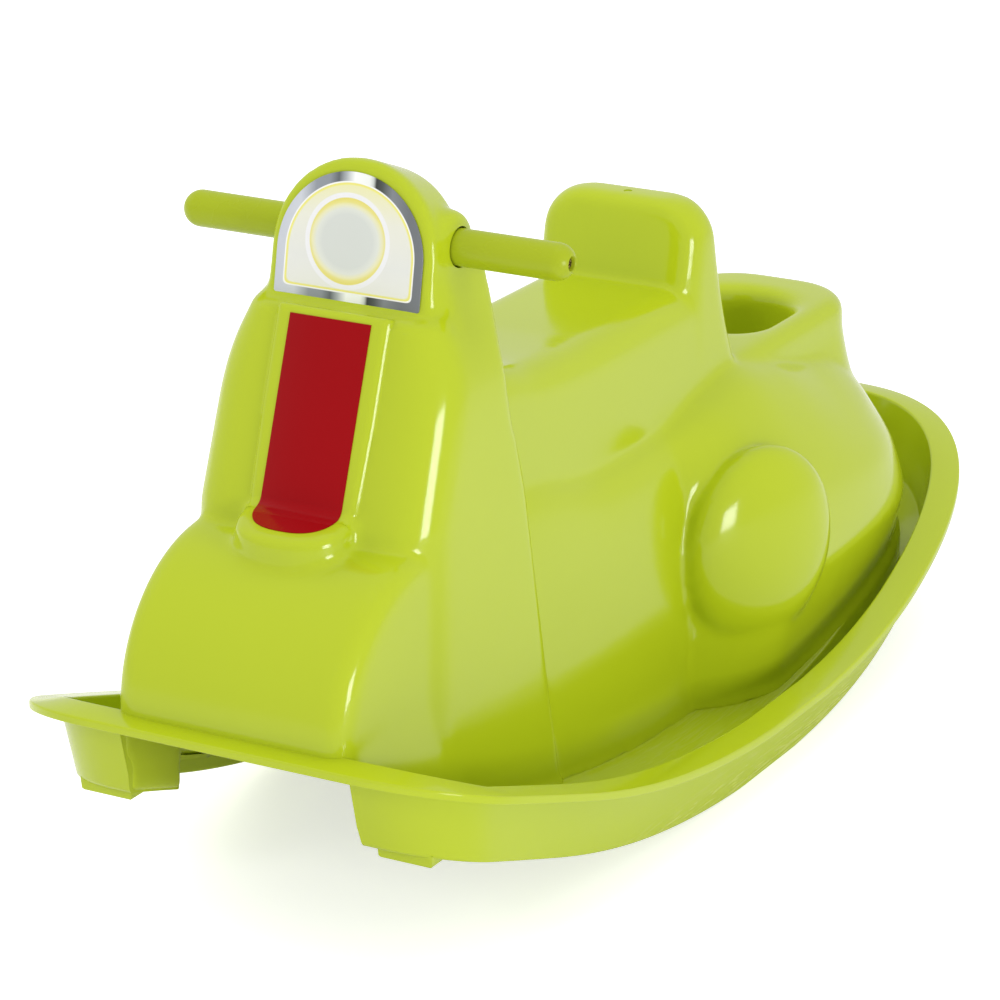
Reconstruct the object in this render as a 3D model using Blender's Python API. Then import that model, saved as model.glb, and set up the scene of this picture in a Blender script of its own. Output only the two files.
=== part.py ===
"""Rocking scooter for a toddler, in millimetres, front towards -Y, +Z up.

One hollow moulding carries head, leg shield, fender, saddle, backrest, storage tub, footwells and
rocker runners. A rod through the head carries two grips, and two foils cover the front.
"""
import math

import bmesh
import bpy
from mathutils import Matrix, Vector

MM = 0.001

# The moulding and its clearances
WALL = 3.0
CLEARANCE = 0.3
CUT_REACH = 60.0

# Rocker: the arc that the whole tray follows, with straight ends
ROCK_RADIUS = 880.0
ROCK_LOW_Y = -4.0
REST_FLAT = 76.0
ARC_FRONT = -282.0
ARC_REAR = 181.0

# Tray outline in plan
TRAY_FRONT = -423.0
TRAY_REAR = 423.0
TRAY_HALF_WIDTH = 168.0
TRAY_FRONT_HALF_WIDTH = TRAY_HALF_WIDTH - 30.0
TRAY_CORNER = 40.0
TAPER_END = -160.0
REAR_CURVE_START = 40.0
REAR_SQUARENESS = 2.6

# Tray section, as heights above the rocker arc and insets from the outline
RIM_LOW = 40.0
RIM_CREST = 47.0
LIP_HEIGHT = 5.0
LIP_THICKNESS = 3.0
FLANGE = 20.0
WALL_TOP_INSET = 17.0
WALL_FOOT_INSET = 22.0
RUNNER_WIDTH = 22.0
FLOOR_HEIGHT = 22.0

# Front legs and their stop pads
LEG_FRONT_TOP = -396.0
LEG_FRONT_FOOT = -384.0
LEG_REAR = -342.0
PAD_INNER = 84.0
PAD_WIDTH = TRAY_FRONT_HALF_WIDTH - WALL_FOOT_INSET - PAD_INNER
PAD_FRONT = -383.0
PAD_LENGTH = 21.0
PAD_BOTTOM = 71.5

# Front fender, a quarter drum
FENDER_HALF_WIDTH = 77.0
FENDER_RADIUS = 94.0
FENDER_AXIS_Y = -316.0
FENDER_AXIS_Z = 137.0
FENDER_EDGE = 14.0
FENDER_DRAFT = 0.11

# Leg shield and column: front face leans back from the lamp
LAMP_Y = -272.0
LAMP_Z = 392.0
LEAN = 0.348
SHIELD_FOOT_Y = -327.0
COLUMN_REAR_FOOT = -138.0
COLUMN_REAR_LEAN = 0.304
COLUMN_FOOT_HALF_WIDTH = 83.0
COLUMN_HALF_WIDTH = 79.0
COLUMN_TOP = 312.0
COLUMN_EDGE = 30.0

# Head
HEAD_HALF_WIDTH = 55.0
HEAD_DEPTH = 50.0
HEAD_EDGE = 9.0
HEAD_DRAFT = 4.0
HEAD_PROUD = 0.6
EAR_RADIUS = 17.0
EAR_REACH = 54.5

# Handlebar
BAR_Y = -239.0
BAR_Z = 387.0
BAR_HALF_LENGTH = 128.7
GRIP_RADIUS = 11.0
GRIP_INNER_END = 40.0
ROD_RADIUS = 7.9
ROD_END_GAP = 14.0
SCREW_HEAD_RADIUS = 3.6
SCREW_HEAD_HEIGHT = 2.6
SCREW_SHANK_RADIUS = 1.9
SCREW_LENGTH = 22.0
SCREW_RECESS = 4.0

# Foils
FOIL = 0.4
LAMP_FOIL_HALF_WIDTH = 48.0
LAMP_FOIL_DROP = 39.0
LAMP_FOIL_STRAIGHT = 28.0
STRIPE_HALF_WIDTH = 26.7
STRIPE_TOP = 350.0
STRIPE_BEND = 246.0
STRIPE_CHANNEL_DEPTH = 3.0
STRIPE_CHANNEL_MARGIN = 7.0
TONGUE_LENGTH = 22.0
TONGUE_BOSS_MARGIN = 10.0

# Saddle
SEAT_HALF_WIDTH = 57.0
SEAT_HEIGHT = 285.0
SEAT_FRONT_RISE = 13.0
SEAT_EDGE = 20.0

# Backrest
BACKREST_TOP = 338.5
BACKREST_HALF_WIDTH = 56.0
BACKREST_FRONT = 52.0
BACKREST_REAR = 133.0
BACKREST_TOP_FRONT = 66.0
BACKREST_TOP_REAR = 97.0
BACKREST_EDGE = 16.0

# Lower body
FLANK_HALF_WIDTH = 81.0
FLANK_FRONT_HALF_WIDTH = 73.0
BULGE_HALF_WIDTH = TRAY_HALF_WIDTH - 42.0
BULGE_FOOT_HALF_WIDTH = BULGE_HALF_WIDTH - 9.0
SHOULDER_HEIGHT = 208.0
FLARE_START = 6.0
FLARE_END = 68.0
SHOULDER_LIFT = ((-218, 26), (-163, 20), (-74, -1), (-6, -3), (63, 9), (104, 17), (150, 13), (220, 0), (328, -6))
BODY_REAR = 328.0
BODY_REAR_CURVE = 120.0
DOME_RADIUS = 50.0
DOME_X = BULGE_HALF_WIDTH - 28.0
DOME_Y = 68.5
DOME_Z = 121.5

# Storage tub behind the backrest
TUB_TOP = 223.0
TUB_HALF_WIDTH = 61.0
TUB_REAR = 314.0
TUB_LIP = 15.0
TUB_FLARE = 10.0
TUB_FLOOR = 152.0
TUB_FRONT = 137.0
TUB_CORNER = 46.0

GREEN = (0.48, 0.60, 0.03, 1.0)
GRIP_GREEN = (0.44, 0.56, 0.03, 1.0)


def front_y(z):
    """The leaning front face of shield and head at a height."""
    return LAMP_Y + (z - LAMP_Z) * LEAN


def rise(y):
    """Height of the rocker's underside at a place along the toy."""
    reach = max(abs(y - ROCK_LOW_Y), REST_FLAT / 2)
    end = ARC_REAR - ROCK_LOW_Y if y > ROCK_LOW_Y else ROCK_LOW_Y - ARC_FRONT
    on_arc = min(reach, end)
    flat = math.sqrt(ROCK_RADIUS ** 2 - (REST_FLAT / 2) ** 2)
    height = flat - math.sqrt(ROCK_RADIUS ** 2 - on_arc ** 2)
    slope = end / math.sqrt(ROCK_RADIUS ** 2 - end ** 2)
    return height + (reach - on_arc) * slope


def clear_scene():
    for item in list(bpy.data.objects):
        bpy.data.objects.remove(item, do_unlink=True)


def plastic(name, colour, roughness, metallic=0.0):
    material = bpy.data.materials.new(name)
    material.use_nodes = True
    shader = material.node_tree.nodes["Principled BSDF"]
    shader.inputs["Base Color"].default_value = colour
    shader.inputs["Roughness"].default_value = roughness
    shader.inputs["Metallic"].default_value = metallic
    material.diffuse_color = colour
    return material


def add_object(name, mesh_builder, material=None):
    """Close a bmesh into an object; without a material it is a cutter or a building block."""
    mesh = bpy.data.meshes.new(name)
    bmesh.ops.recalc_face_normals(mesh_builder, faces=mesh_builder.faces)
    mesh_builder.to_mesh(mesh)
    mesh_builder.free()
    item = bpy.data.objects.new(name, mesh)
    bpy.context.scene.collection.objects.link(item)
    if material:
        mesh.materials.append(material)
    else:
        item.hide_render = True
        item.display_type = 'WIRE'
    return item


def loft(name, rings, material=None, ribbed=False):
    """Skin rings of equally many points, given in millimetres, and cap both ends.

    Ribbed caps run from each point straight across to its mirror image, so that they can bend.
    """
    builder = bmesh.new()
    rows = [[builder.verts.new(Vector(point) * MM) for point in ring] for ring in rings]
    count = len(rows[0])
    for low, high in zip(rows, rows[1:]):
        for index in range(count):
            after = (index + 1) % count
            builder.faces.new((low[index], low[after], high[after], high[index]))
    for row in (rows[0], rows[-1]):
        if ribbed:
            for index in range(count // 2 - 1):
                builder.faces.new((row[index], row[index + 1], row[-2 - index], row[-1 - index]))
        else:
            builder.faces.new(row)
    bmesh.ops.triangulate(builder, faces=builder.faces)
    return add_object(name, builder, material)


def turned(name, profile, material, steps=24):
    """Turn a closed profile of (x, radius) about the handlebar's axis."""
    builder = bmesh.new()
    loop = [builder.verts.new(Vector((x, BAR_Y, BAR_Z + radius)) * MM) for x, radius in profile]
    edges = [builder.edges.new((a, b)) for a, b in zip(loop, loop[1:])]
    axis_point = Vector((0, BAR_Y, BAR_Z)) * MM
    bmesh.ops.spin(builder, geom=loop + edges, cent=axis_point, axis=(1, 0, 0),
                   angle=2 * math.pi, steps=steps, use_merge=True)
    bmesh.ops.remove_doubles(builder, verts=builder.verts, dist=0.00001)
    item = add_object(name, builder, material)
    item.data.shade_smooth()
    item.data.set_sharp_from_angle(angle=math.radians(35))
    return item


def combine(target, other, operation):
    modifier = target.modifiers.new(other.name, 'BOOLEAN')
    modifier.operation = operation
    modifier.solver = 'EXACT'
    modifier.object = other


def arc(centre_a, centre_b, radius, start, end, steps):
    """Points of an arc, angles in degrees."""
    points = []
    for step in range(steps + 1):
        angle = math.radians(start + (end - start) * step / steps)
        points.append((centre_a + radius * math.cos(angle), centre_b + radius * math.sin(angle)))
    return points


def plan_ring(z, front, rear, half_width, front_edge, rear_edge, steps=4, stops=0):
    """Rounded rectangle in plan, symmetric about X = 0, with extra stops along its sides."""
    half = arc(half_width - rear_edge, rear - rear_edge, rear_edge, 90, 0, steps)
    last = front + front_edge
    first = rear - rear_edge
    for stop in range(stops):
        half.append((half_width, first + (last - first) * (stop + 1) / (stops + 1)))
    half += arc(half_width - front_edge, last, front_edge, 0, -90, steps)
    mirrored = [(-x, y) for x, y in reversed(half)]
    return [(x, y, z) for x, y in half + mirrored]


def on_arc(ring, height):
    """The same ring, laid on the rocker's arc at a height above it."""
    return [(x, y, rise(y) + height) for x, y, z in ring]


def footed(rings, foot):
    """Lay the lowest ring in the middle of the footwell floor; a foot takes it on straight down."""
    low = on_arc(rings[0], FLOOR_HEIGHT - WALL / 2)
    if foot is None:
        return [low] + rings[1:]
    return [[(x, y, foot) for x, y, z in low], low] + rings[1:]


def tray_outline(inset, front):
    """Stations (y, half width) of the tray's outline, moved inwards by an inset."""
    corner = max(TRAY_CORNER - inset, 2.0)
    widest = TRAY_HALF_WIDTH - inset

    def side(y):
        share = max(0.0, (TAPER_END - y) / (TAPER_END - TRAY_FRONT))
        return widest - (TRAY_HALF_WIDTH - TRAY_FRONT_HALF_WIDTH) * share ** 2

    first = front + corner
    stations = []
    for angle in (90, 65, 40, 18, 0):
        turn = math.radians(angle)
        stations.append((first - corner * math.sin(turn), side(first) - corner * (1 - math.cos(turn))))
    for step in range(1, 9):
        y = first + (ARC_FRONT - first) * step / 8
        if step in (3, 6, 8):
            stations.append((y, side(y)))
    for step in range(1, 9):
        y = ARC_FRONT + (ROCK_LOW_Y - REST_FLAT / 2 - ARC_FRONT) * step / 8
        stations.append((y, side(y)))
    stations.append((ROCK_LOW_Y + REST_FLAT / 2, widest))
    stations.append((REAR_CURVE_START, widest))
    rear = TRAY_REAR - inset
    for step in range(1, 13):
        angle = math.radians(89.0 * step / 12)
        reach = math.sin(angle) ** (2 / REAR_SQUARENESS)
        width = math.cos(angle) ** (2 / REAR_SQUARENESS)
        stations.append((REAR_CURVE_START + (rear - REAR_CURVE_START) * reach, widest * width))
    return stations


def tray_block(name, top_inset, foot_inset, top, foot, top_front, foot_front):
    """A block that follows the tray's outline and the rocker's arc."""
    rings = []
    tops = tray_outline(top_inset, top_front)
    feet = tray_outline(foot_inset, foot_front)
    for (top_y, top_x), (foot_y, foot_x) in zip(tops, feet):
        high = rise(top_y) + top
        low = rise(foot_y) + foot
        rings.append([(top_x, top_y, high), (foot_x, foot_y, low),
                      (-foot_x, foot_y, low), (-top_x, top_y, high)])
    return loft(name, rings)


def flange_block(name):
    """The rim's flange: it slopes out from its crest and ends in a turned-down lip."""
    section = ((FLANGE, RIM_CREST), (0.0, RIM_LOW + LIP_HEIGHT), (0.0, RIM_LOW),
               (LIP_THICKNESS, RIM_LOW), (LIP_THICKNESS, RIM_LOW + LIP_HEIGHT - LIP_THICKNESS / 2),
               (FLANGE, RIM_CREST - WALL))
    outlines = [tray_outline(inset, TRAY_FRONT + inset) for inset, height in section]
    edge = tray_outline(0.0, TRAY_FRONT)
    rings = []
    for station in range(len(edge)):
        right = []
        for outline, (inset, height) in zip(outlines, section):
            y, x = outline[station]
            right.append((x, y, rise(edge[station][0]) + height))
        rings.append(right + [(-x, y, z) for x, y, z in reversed(right)])
    return loft(name, rings, ribbed=True)


def fender_width(z):
    """Half width of the fender, with draft below its drum."""
    return FENDER_HALF_WIDTH + FENDER_DRAFT * (FENDER_AXIS_Z - z)


def fender_drum(name, inset):
    """Quarter drum with rounded side edges."""
    radius = FENDER_RADIUS - inset
    half_width = FENDER_HALF_WIDTH - inset
    edge = FENDER_EDGE - inset / 2
    foot = FENDER_AXIS_Z - 8
    back = SHIELD_FOOT_Y + 40
    rings = []
    for slide, shrink in ((0.0, edge), (0.3 * edge, 0.3 * edge), (edge, 0.0)):
        rings.append((half_width - slide, radius - shrink))
    rings = [(-x, drum) for x, drum in rings] + [(x, drum) for x, drum in reversed(rings)]
    outlines = []
    for x, drum in rings:
        ring = [(x, back, foot), (x, back, FENDER_AXIS_Z + drum)]
        ring += [(x, y, z) for y, z in arc(FENDER_AXIS_Y, FENDER_AXIS_Z, drum, 90, 180, 8)]
        ring.append((x, FENDER_AXIS_Y - drum, foot))
        outlines.append(ring)
    return loft(name, outlines)


def fender_base(name, inset, foot=None):
    """Drafted walls under the drum, down to the rocker's arc or to a given foot."""
    front = FENDER_AXIS_Y - FENDER_RADIUS + inset
    back = SHIELD_FOOT_Y + 42
    edge = FENDER_EDGE - inset / 2
    top = plan_ring(FENDER_AXIS_Z + 3, front + 0.3, back, fender_width(FENDER_AXIS_Z + 3) - inset, edge, 2.0)
    low = foot if foot is not None else rise(front)
    base = plan_ring(low, front - 1.0, back, fender_width(low) - inset, edge, 2.0)
    if foot is None:
        base = on_arc(base, WALL / 2)
    return loft(name, [base, top], ribbed=True)


def column_block(name, inset, foot=None):
    """Leg shield and column: narrow at the head, wide at the feet."""
    bend = LAMP_Z + (SHIELD_FOOT_Y - LAMP_Y) / LEAN
    levels = []

    def level(z, half_width, edge, rear_shift=0.0):
        front = max(SHIELD_FOOT_Y, front_y(z))
        rear = COLUMN_REAR_FOOT - (z - FLOOR_HEIGHT) * COLUMN_REAR_LEAN + rear_shift
        levels.append(plan_ring(z - (inset if z > BAR_Z else 0), front + inset, rear - inset,
                                half_width - inset, max(edge - inset, 2.0), 4.0, stops=2))

    level(FLOOR_HEIGHT, COLUMN_FOOT_HALF_WIDTH, COLUMN_EDGE)
    levels = footed(levels, foot)
    level(bend, COLUMN_HALF_WIDTH + 2, COLUMN_EDGE)
    neck = BAR_Z - COLUMN_TOP
    level(COLUMN_TOP, COLUMN_HALF_WIDTH - 1, COLUMN_EDGE, 3)
    level(COLUMN_TOP + neck * 0.333, COLUMN_HALF_WIDTH - 9, COLUMN_EDGE - 4, 16)
    level(COLUMN_TOP + neck * 0.533, HEAD_HALF_WIDTH + 7, COLUMN_EDGE - 10, 27)
    level(COLUMN_TOP + neck * 0.84, HEAD_HALF_WIDTH + 0.5, HEAD_EDGE + 4, 36)
    level(BAR_Z + 1, HEAD_HALF_WIDTH - 3, HEAD_EDGE + 4, 34)
    return loft(name, levels, ribbed=True)


def head_block(name, inset):
    """Round-topped head, pushed back square to the leaning front face."""
    slant = math.atan(LEAN)
    centre_z = BAR_Z
    radius = HEAD_HALF_WIDTH - inset
    rings = []
    steps = ((inset, HEAD_EDGE), (inset + 0.3 * HEAD_EDGE, 0.3 * HEAD_EDGE), (inset + HEAD_EDGE, 0.0),
             (HEAD_DEPTH - inset - HEAD_EDGE, 0.0), (HEAD_DEPTH - inset - 0.3 * HEAD_EDGE, 0.3 * HEAD_EDGE),
             (HEAD_DEPTH - inset, HEAD_EDGE))
    for back, shrink in steps:
        ring = []
        side = radius - shrink - HEAD_DRAFT * back / HEAD_DEPTH
        outline = arc(0, 0, side, 0, 180, 16)
        outline += [(-side, -40), (side, -40)]
        for x, up in outline:
            depth = back - HEAD_PROUD
            z = centre_z + up * math.cos(slant) - depth * math.sin(slant)
            y = front_y(centre_z) + up * math.sin(slant) + depth * math.cos(slant)
            ring.append((x, y, z))
        rings.append(ring)
    return loft(name, rings)


def cross_cylinder(name, radius, reach, steps=20):
    """A cylinder along the handlebar, from side to side."""
    rings = []
    for x in (-reach, reach):
        circle = arc(BAR_Y, BAR_Z, radius, 0, 360 - 360 / steps, steps - 1)
        rings.append([(x, y, z) for y, z in circle])
    return loft(name, rings)


def seat_block(name, inset, foot):
    """Saddle: level, rising a little towards the column, with rounded long edges."""
    rings = []
    half_width = SEAT_HALF_WIDTH - inset
    edge = SEAT_EDGE - inset / 2
    rear = BACKREST_FRONT + 30
    column = COLUMN_REAR_FOOT - (SEAT_HEIGHT - FLOOR_HEIGHT) * COLUMN_REAR_LEAN
    for y, lift in ((column - 20, 1.25), (column + 30, 0.8), (column + 75, 0.3),
                    (column + 130, 0.0), (rear, 0.0)):
        top = SEAT_HEIGHT + SEAT_FRONT_RISE * lift - inset
        right = [(half_width + 3, y, foot)]
        right += [(x, y, z) for x, z in arc(half_width - edge, top - edge, edge, 0, 90, 5)]
        rings.append([(-x, yy, z) for x, yy, z in right] + list(reversed(right)))
    return loft(name, rings)


def backrest_block(name, inset, foot):
    """Block backrest that thins towards its top."""
    span = BACKREST_TOP - SEAT_HEIGHT
    rings = []

    def level(share, narrow, thin):
        z = SEAT_HEIGHT + span * share - inset * (share > 0.5)
        front = BACKREST_FRONT + (BACKREST_TOP_FRONT - BACKREST_FRONT) * share + thin + inset
        rear_at_seat = BACKREST_REAR - (BACKREST_REAR - BACKREST_TOP_REAR) * 0.55
        rear = rear_at_seat + (BACKREST_TOP_REAR - rear_at_seat) * share - thin - inset
        width = BACKREST_HALF_WIDTH - narrow - inset
        edge = min(BACKREST_EDGE - inset, (rear - front) / 2 - 1)
        rings.append(plan_ring(z, front, rear, width, edge, edge))

    rings.append(plan_ring(foot, BACKREST_FRONT + inset, BACKREST_REAR - inset,
                           BACKREST_HALF_WIDTH + 2 - inset, BACKREST_EDGE - inset, BACKREST_EDGE - inset))
    level(0.0, 0.0, 0.0)
    level(0.66, 1.0, 0.0)
    level(0.88, 5.0, 1.5)
    level(1.0, 17.0, 7.0)
    return loft(name, rings)


def body_ring(z, flank, bulge, rear):
    """Plan outline of the lower body: straight flanks, flared sides, round back."""
    half = []
    column = COLUMN_REAR_FOOT - 80 + (BODY_REAR - rear)
    for stop in range(6):
        narrow = (FLANK_HALF_WIDTH - FLANK_FRONT_HALF_WIDTH) * (1 - stop / 5)
        half.append((flank - narrow, column + (FLARE_START - column) * stop / 5))
    for step in range(1, 6):
        share = step / 5
        smooth = share * share * (3 - 2 * share)
        half.append((flank + (bulge - flank) * smooth, FLARE_START + (FLARE_END - FLARE_START) * share))
    half.append((bulge, BODY_REAR_CURVE))
    for step in range(1, 9):
        angle = math.radians(88 * step / 8)
        half.append((bulge * math.cos(angle) ** 0.8,
                     BODY_REAR_CURVE + (rear - BODY_REAR_CURVE) * math.sin(angle) ** 0.8))
    mirrored = [(-x, y) for x, y in reversed(half)]
    return [(x, y, z) for x, y in half + mirrored]


def shoulder_lift(y):
    """How far the shoulder lies above or below its usual height along the toy."""
    for (near, low), (far, high) in zip(SHOULDER_LIFT, SHOULDER_LIFT[1:]):
        if y <= far:
            return low + (high - low) * (max(y, near) - near) / (far - near)
    return SHOULDER_LIFT[-1][1]


def lower_body_block(name, inset, foot=None):
    """Flanks, flared rear sides and the rounded shoulder under the saddle and tub."""
    levels = ((FLOOR_HEIGHT, FLANK_HALF_WIDTH + 2, BULGE_FOOT_HALF_WIDTH, 0.0),
              (94.0, FLANK_HALF_WIDTH, BULGE_HALF_WIDTH, 0.0),
              (125.0, FLANK_HALF_WIDTH - 2, BULGE_HALF_WIDTH - 4, 1.0),
              (160.0, FLANK_HALF_WIDTH - 5, BULGE_HALF_WIDTH - 17, 4.0),
              (185.0, FLANK_HALF_WIDTH - 9, BULGE_HALF_WIDTH - 35, 9.0),
              (200.0, FLANK_HALF_WIDTH - 15, BULGE_HALF_WIDTH - 51, 15.0),
              (SHOULDER_HEIGHT, FLANK_HALF_WIDTH - 24, BULGE_HALF_WIDTH - 66, 24.0))
    rings = []
    for z, flank, bulge, back in levels:
        height = z - inset if z > 150 else z
        ring = body_ring(height, flank - inset, bulge - inset, BODY_REAR - back - inset)
        share = max(0.0, (z - 125) / (SHOULDER_HEIGHT - 125))
        rings.append([(x, y, level + shoulder_lift(y) * share) for x, y, level in ring])
    return loft(name, footed(rings, foot), ribbed=True)


def dome_block(name, side, radius):
    builder = bmesh.new()
    place = Matrix.Translation(Vector((side * DOME_X, DOME_Y, DOME_Z)) * MM)
    bmesh.ops.create_uvsphere(builder, u_segments=20, v_segments=12, radius=radius * MM, matrix=place)
    return add_object(name, builder)


def tub_block(name, inset, foot):
    """Outside of the storage tub."""
    top = TUB_TOP - inset
    width = TUB_HALF_WIDTH - inset
    rear = TUB_REAR - inset
    corner = TUB_CORNER
    rings = [plan_ring(foot, TUB_FRONT - 35, rear + TUB_FLARE, width + TUB_FLARE, 6, corner + TUB_FLARE, 6),
             plan_ring(TUB_FLOOR, TUB_FRONT - 35, rear + TUB_FLARE, width + TUB_FLARE, 6, corner + TUB_FLARE, 6),
             plan_ring(top - 18, TUB_FRONT - 35, rear, width, 6, corner, 6),
             plan_ring(top - 5, TUB_FRONT - 35, rear - 3, width - 3, 6, corner, 6),
             plan_ring(top, TUB_FRONT - 35, rear - 9, width - 9, 6, corner, 6)]
    return loft(name, rings)


def tub_cavity(name, grow, top):
    """Inside of the tub, drawn in a little towards its floor."""
    width = TUB_HALF_WIDTH - TUB_LIP + grow
    rear = TUB_REAR - TUB_LIP - 5 + grow
    front = TUB_FRONT - grow
    rings = [plan_ring(TUB_FLOOR - grow, front + 6, rear - 12, width - 8, 12, TUB_CORNER - 12, 6),
             plan_ring(TUB_TOP - 12, front, rear - 2, width - 2, 12, TUB_CORNER - 8, 6),
             plan_ring(top, front, rear + 3, width + 3, 12, TUB_CORNER - 6, 6)]
    return loft(name, rings)


def box(name, x_span, y_span, z_span):
    ring = ((x_span[0], y_span[0]), (x_span[1], y_span[0]), (x_span[1], y_span[1]), (x_span[0], y_span[1]))
    return loft(name, [[(x, y, z) for x, y in ring] for z in z_span])


def stripe_plane(z, depth):
    return front_y(z) + depth * math.sqrt(1 + LEAN ** 2)


def stripe_channel(name, grow=0.0):
    """The shallow channel down the leg shield that the red foil lies in."""
    wide = STRIPE_HALF_WIDTH + STRIPE_CHANNEL_MARGIN + grow
    narrow = STRIPE_HALF_WIDTH + 1.5 + grow
    rings = []
    for z in (STRIPE_BEND, STRIPE_TOP + 3 + grow):
        front = stripe_plane(z, -2)
        bottom = stripe_plane(z, STRIPE_CHANNEL_DEPTH + grow)
        sink = boss_top(front) - STRIPE_BEND - 0.2 if z == STRIPE_BEND else 0.0
        rings.append([(-wide, front, z + sink), (wide, front, z + sink),
                      (narrow, bottom, z - 0.2), (-narrow, bottom, z - 0.2)])
    return loft(name, rings)


def boss_top(y):
    return STRIPE_BEND + 0.22 * (y - stripe_plane(STRIPE_BEND, STRIPE_CHANNEL_DEPTH))


def tongue_outline(grow):
    """Half ellipse in front of the shield's foot, in plan."""
    base = stripe_plane(STRIPE_BEND, STRIPE_CHANNEL_DEPTH)
    points = []
    for step in range(13):
        angle = math.radians(180 * step / 12)
        points.append(((STRIPE_HALF_WIDTH + grow) * math.cos(angle),
                       base - (TONGUE_LENGTH + grow) * math.sin(angle)))
    return points


def tongue_boss(name):
    """Raised pad on the fender that carries the foil's tongue."""
    outline = tongue_outline(TONGUE_BOSS_MARGIN)
    back = outline[0][1] + 20
    ring = outline + [(outline[-1][0], back), (outline[0][0], back)]
    rings = []
    for grow, drop in ((1.06, 60.0), (1.0, 5.0), (0.93, 0.0)):
        rings.append([(x * grow, y, boss_top(y) - drop) for x, y in ring])
    return loft(name, rings)


def body_shell(material):
    """The moulding: outer forms joined, then hollowed from below by the same forms, smaller."""
    shell = tray_block("body_shell", WALL_TOP_INSET, WALL_FOOT_INSET, RIM_CREST - 1, 0.0,
                       LEG_FRONT_TOP, LEG_FRONT_FOOT)
    shell.data.materials.append(material)
    shell.hide_render = False
    shell.display_type = 'TEXTURED'
    combine(shell, flange_block("flange"), 'UNION')
    combine(shell, tray_block("tray_cavity", WALL_TOP_INSET + WALL, WALL_FOOT_INSET + WALL,
                              RIM_CREST + CUT_REACH, WALL,
                              LEG_FRONT_TOP + WALL, LEG_FRONT_FOOT + WALL), 'DIFFERENCE')
    runner_inner = WALL_FOOT_INSET + RUNNER_WIDTH
    combine(shell, tray_block("footwell_floor", runner_inner, runner_inner, FLOOR_HEIGHT, 0.5,
                              LEG_REAR, LEG_REAR), 'UNION')

    combine(shell, fender_base("fender_base", 0.0), 'UNION')
    combine(shell, fender_drum("fender_drum", 0.0), 'UNION')
    combine(shell, column_block("column", 0.0), 'UNION')
    combine(shell, head_block("head", 0.0), 'UNION')
    combine(shell, cross_cylinder("ears", EAR_RADIUS, EAR_REACH), 'UNION')
    combine(shell, tongue_boss("tongue_boss"), 'UNION')
    combine(shell, lower_body_block("lower_body", 0.0), 'UNION')
    combine(shell, seat_block("seat", 0.0, SHOULDER_HEIGHT - 60), 'UNION')
    combine(shell, backrest_block("backrest", 0.0, SHOULDER_HEIGHT - 60), 'UNION')
    combine(shell, tub_block("tub", 0.0, SHOULDER_HEIGHT - 90), 'UNION')
    for side, label in ((-1, "dome_right"), (1, "dome_left")):
        combine(shell, dome_block(label, side, DOME_RADIUS), 'UNION')

    combine(shell, tub_cavity("tub_cavity", 0.0, TUB_TOP + CUT_REACH), 'DIFFERENCE')
    combine(shell, stripe_channel("stripe_channel"), 'DIFFERENCE')
    combine(shell, hollow(-CUT_REACH), 'DIFFERENCE')
    combine(shell, underside("underside", runner_inner + WALL, LEG_REAR + WALL), 'DIFFERENCE')
    combine(shell, leg_gap("leg_gap"), 'DIFFERENCE')
    combine(shell, cross_cylinder("bar_holes", GRIP_RADIUS + CLEARANCE, EAR_REACH + 20), 'DIFFERENCE')
    for side, label in ((-1, "pad_right"), (1, "pad_left")):
        inner, outer = sorted((side * PAD_INNER, side * (PAD_INNER + PAD_WIDTH)))
        combine(shell, box(label, (inner, outer), (PAD_FRONT, PAD_FRONT + PAD_LENGTH),
                           (PAD_BOTTOM, rise(PAD_FRONT) + 1)), 'UNION')
    return shell


def hollow(foot):
    """Everything inside the walls, down through the open underside."""
    space = lower_body_block("hollow", WALL, foot)
    combine(space, fender_base("hollow_fender_base", WALL, foot), 'UNION')
    combine(space, fender_drum("hollow_fender_drum", WALL), 'UNION')
    combine(space, column_block("hollow_column", WALL, foot), 'UNION')
    combine(space, head_block("hollow_head", WALL), 'UNION')
    combine(space, seat_block("hollow_seat", WALL, SHOULDER_HEIGHT - 70), 'UNION')
    combine(space, backrest_block("hollow_backrest", WALL, SHOULDER_HEIGHT - 70), 'UNION')
    combine(space, tub_block("hollow_tub", WALL, SHOULDER_HEIGHT - 100), 'UNION')
    for side, label in ((-1, "hollow_dome_right"), (1, "hollow_dome_left")):
        combine(space, dome_block(label, side, DOME_RADIUS - WALL), 'UNION')
    combine(space, tub_cavity("tub_wall", WALL, TUB_TOP + CUT_REACH), 'DIFFERENCE')
    combine(space, stripe_channel("stripe_wall", WALL), 'DIFFERENCE')
    return space


def leg_gap(name):
    """The open front between the legs, up to the rim."""
    top = rise(TRAY_FRONT) + RIM_LOW - 2
    rings = []
    for z in (-CUT_REACH, top):
        half_width = fender_width(z) - WALL - 0.1
        rings.append([(x, y, z) for x, y in ((half_width, TRAY_FRONT - 20), (half_width, LEG_REAR),
                                             (-half_width, LEG_REAR), (-half_width, TRAY_FRONT - 20))])
    return loft(name, rings)


def underside(name, inset, front):
    """The space between the runners, under the footwell floors."""
    return tray_block(name, inset, inset, FLOOR_HEIGHT - WALL, -CUT_REACH, front, front)


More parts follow.
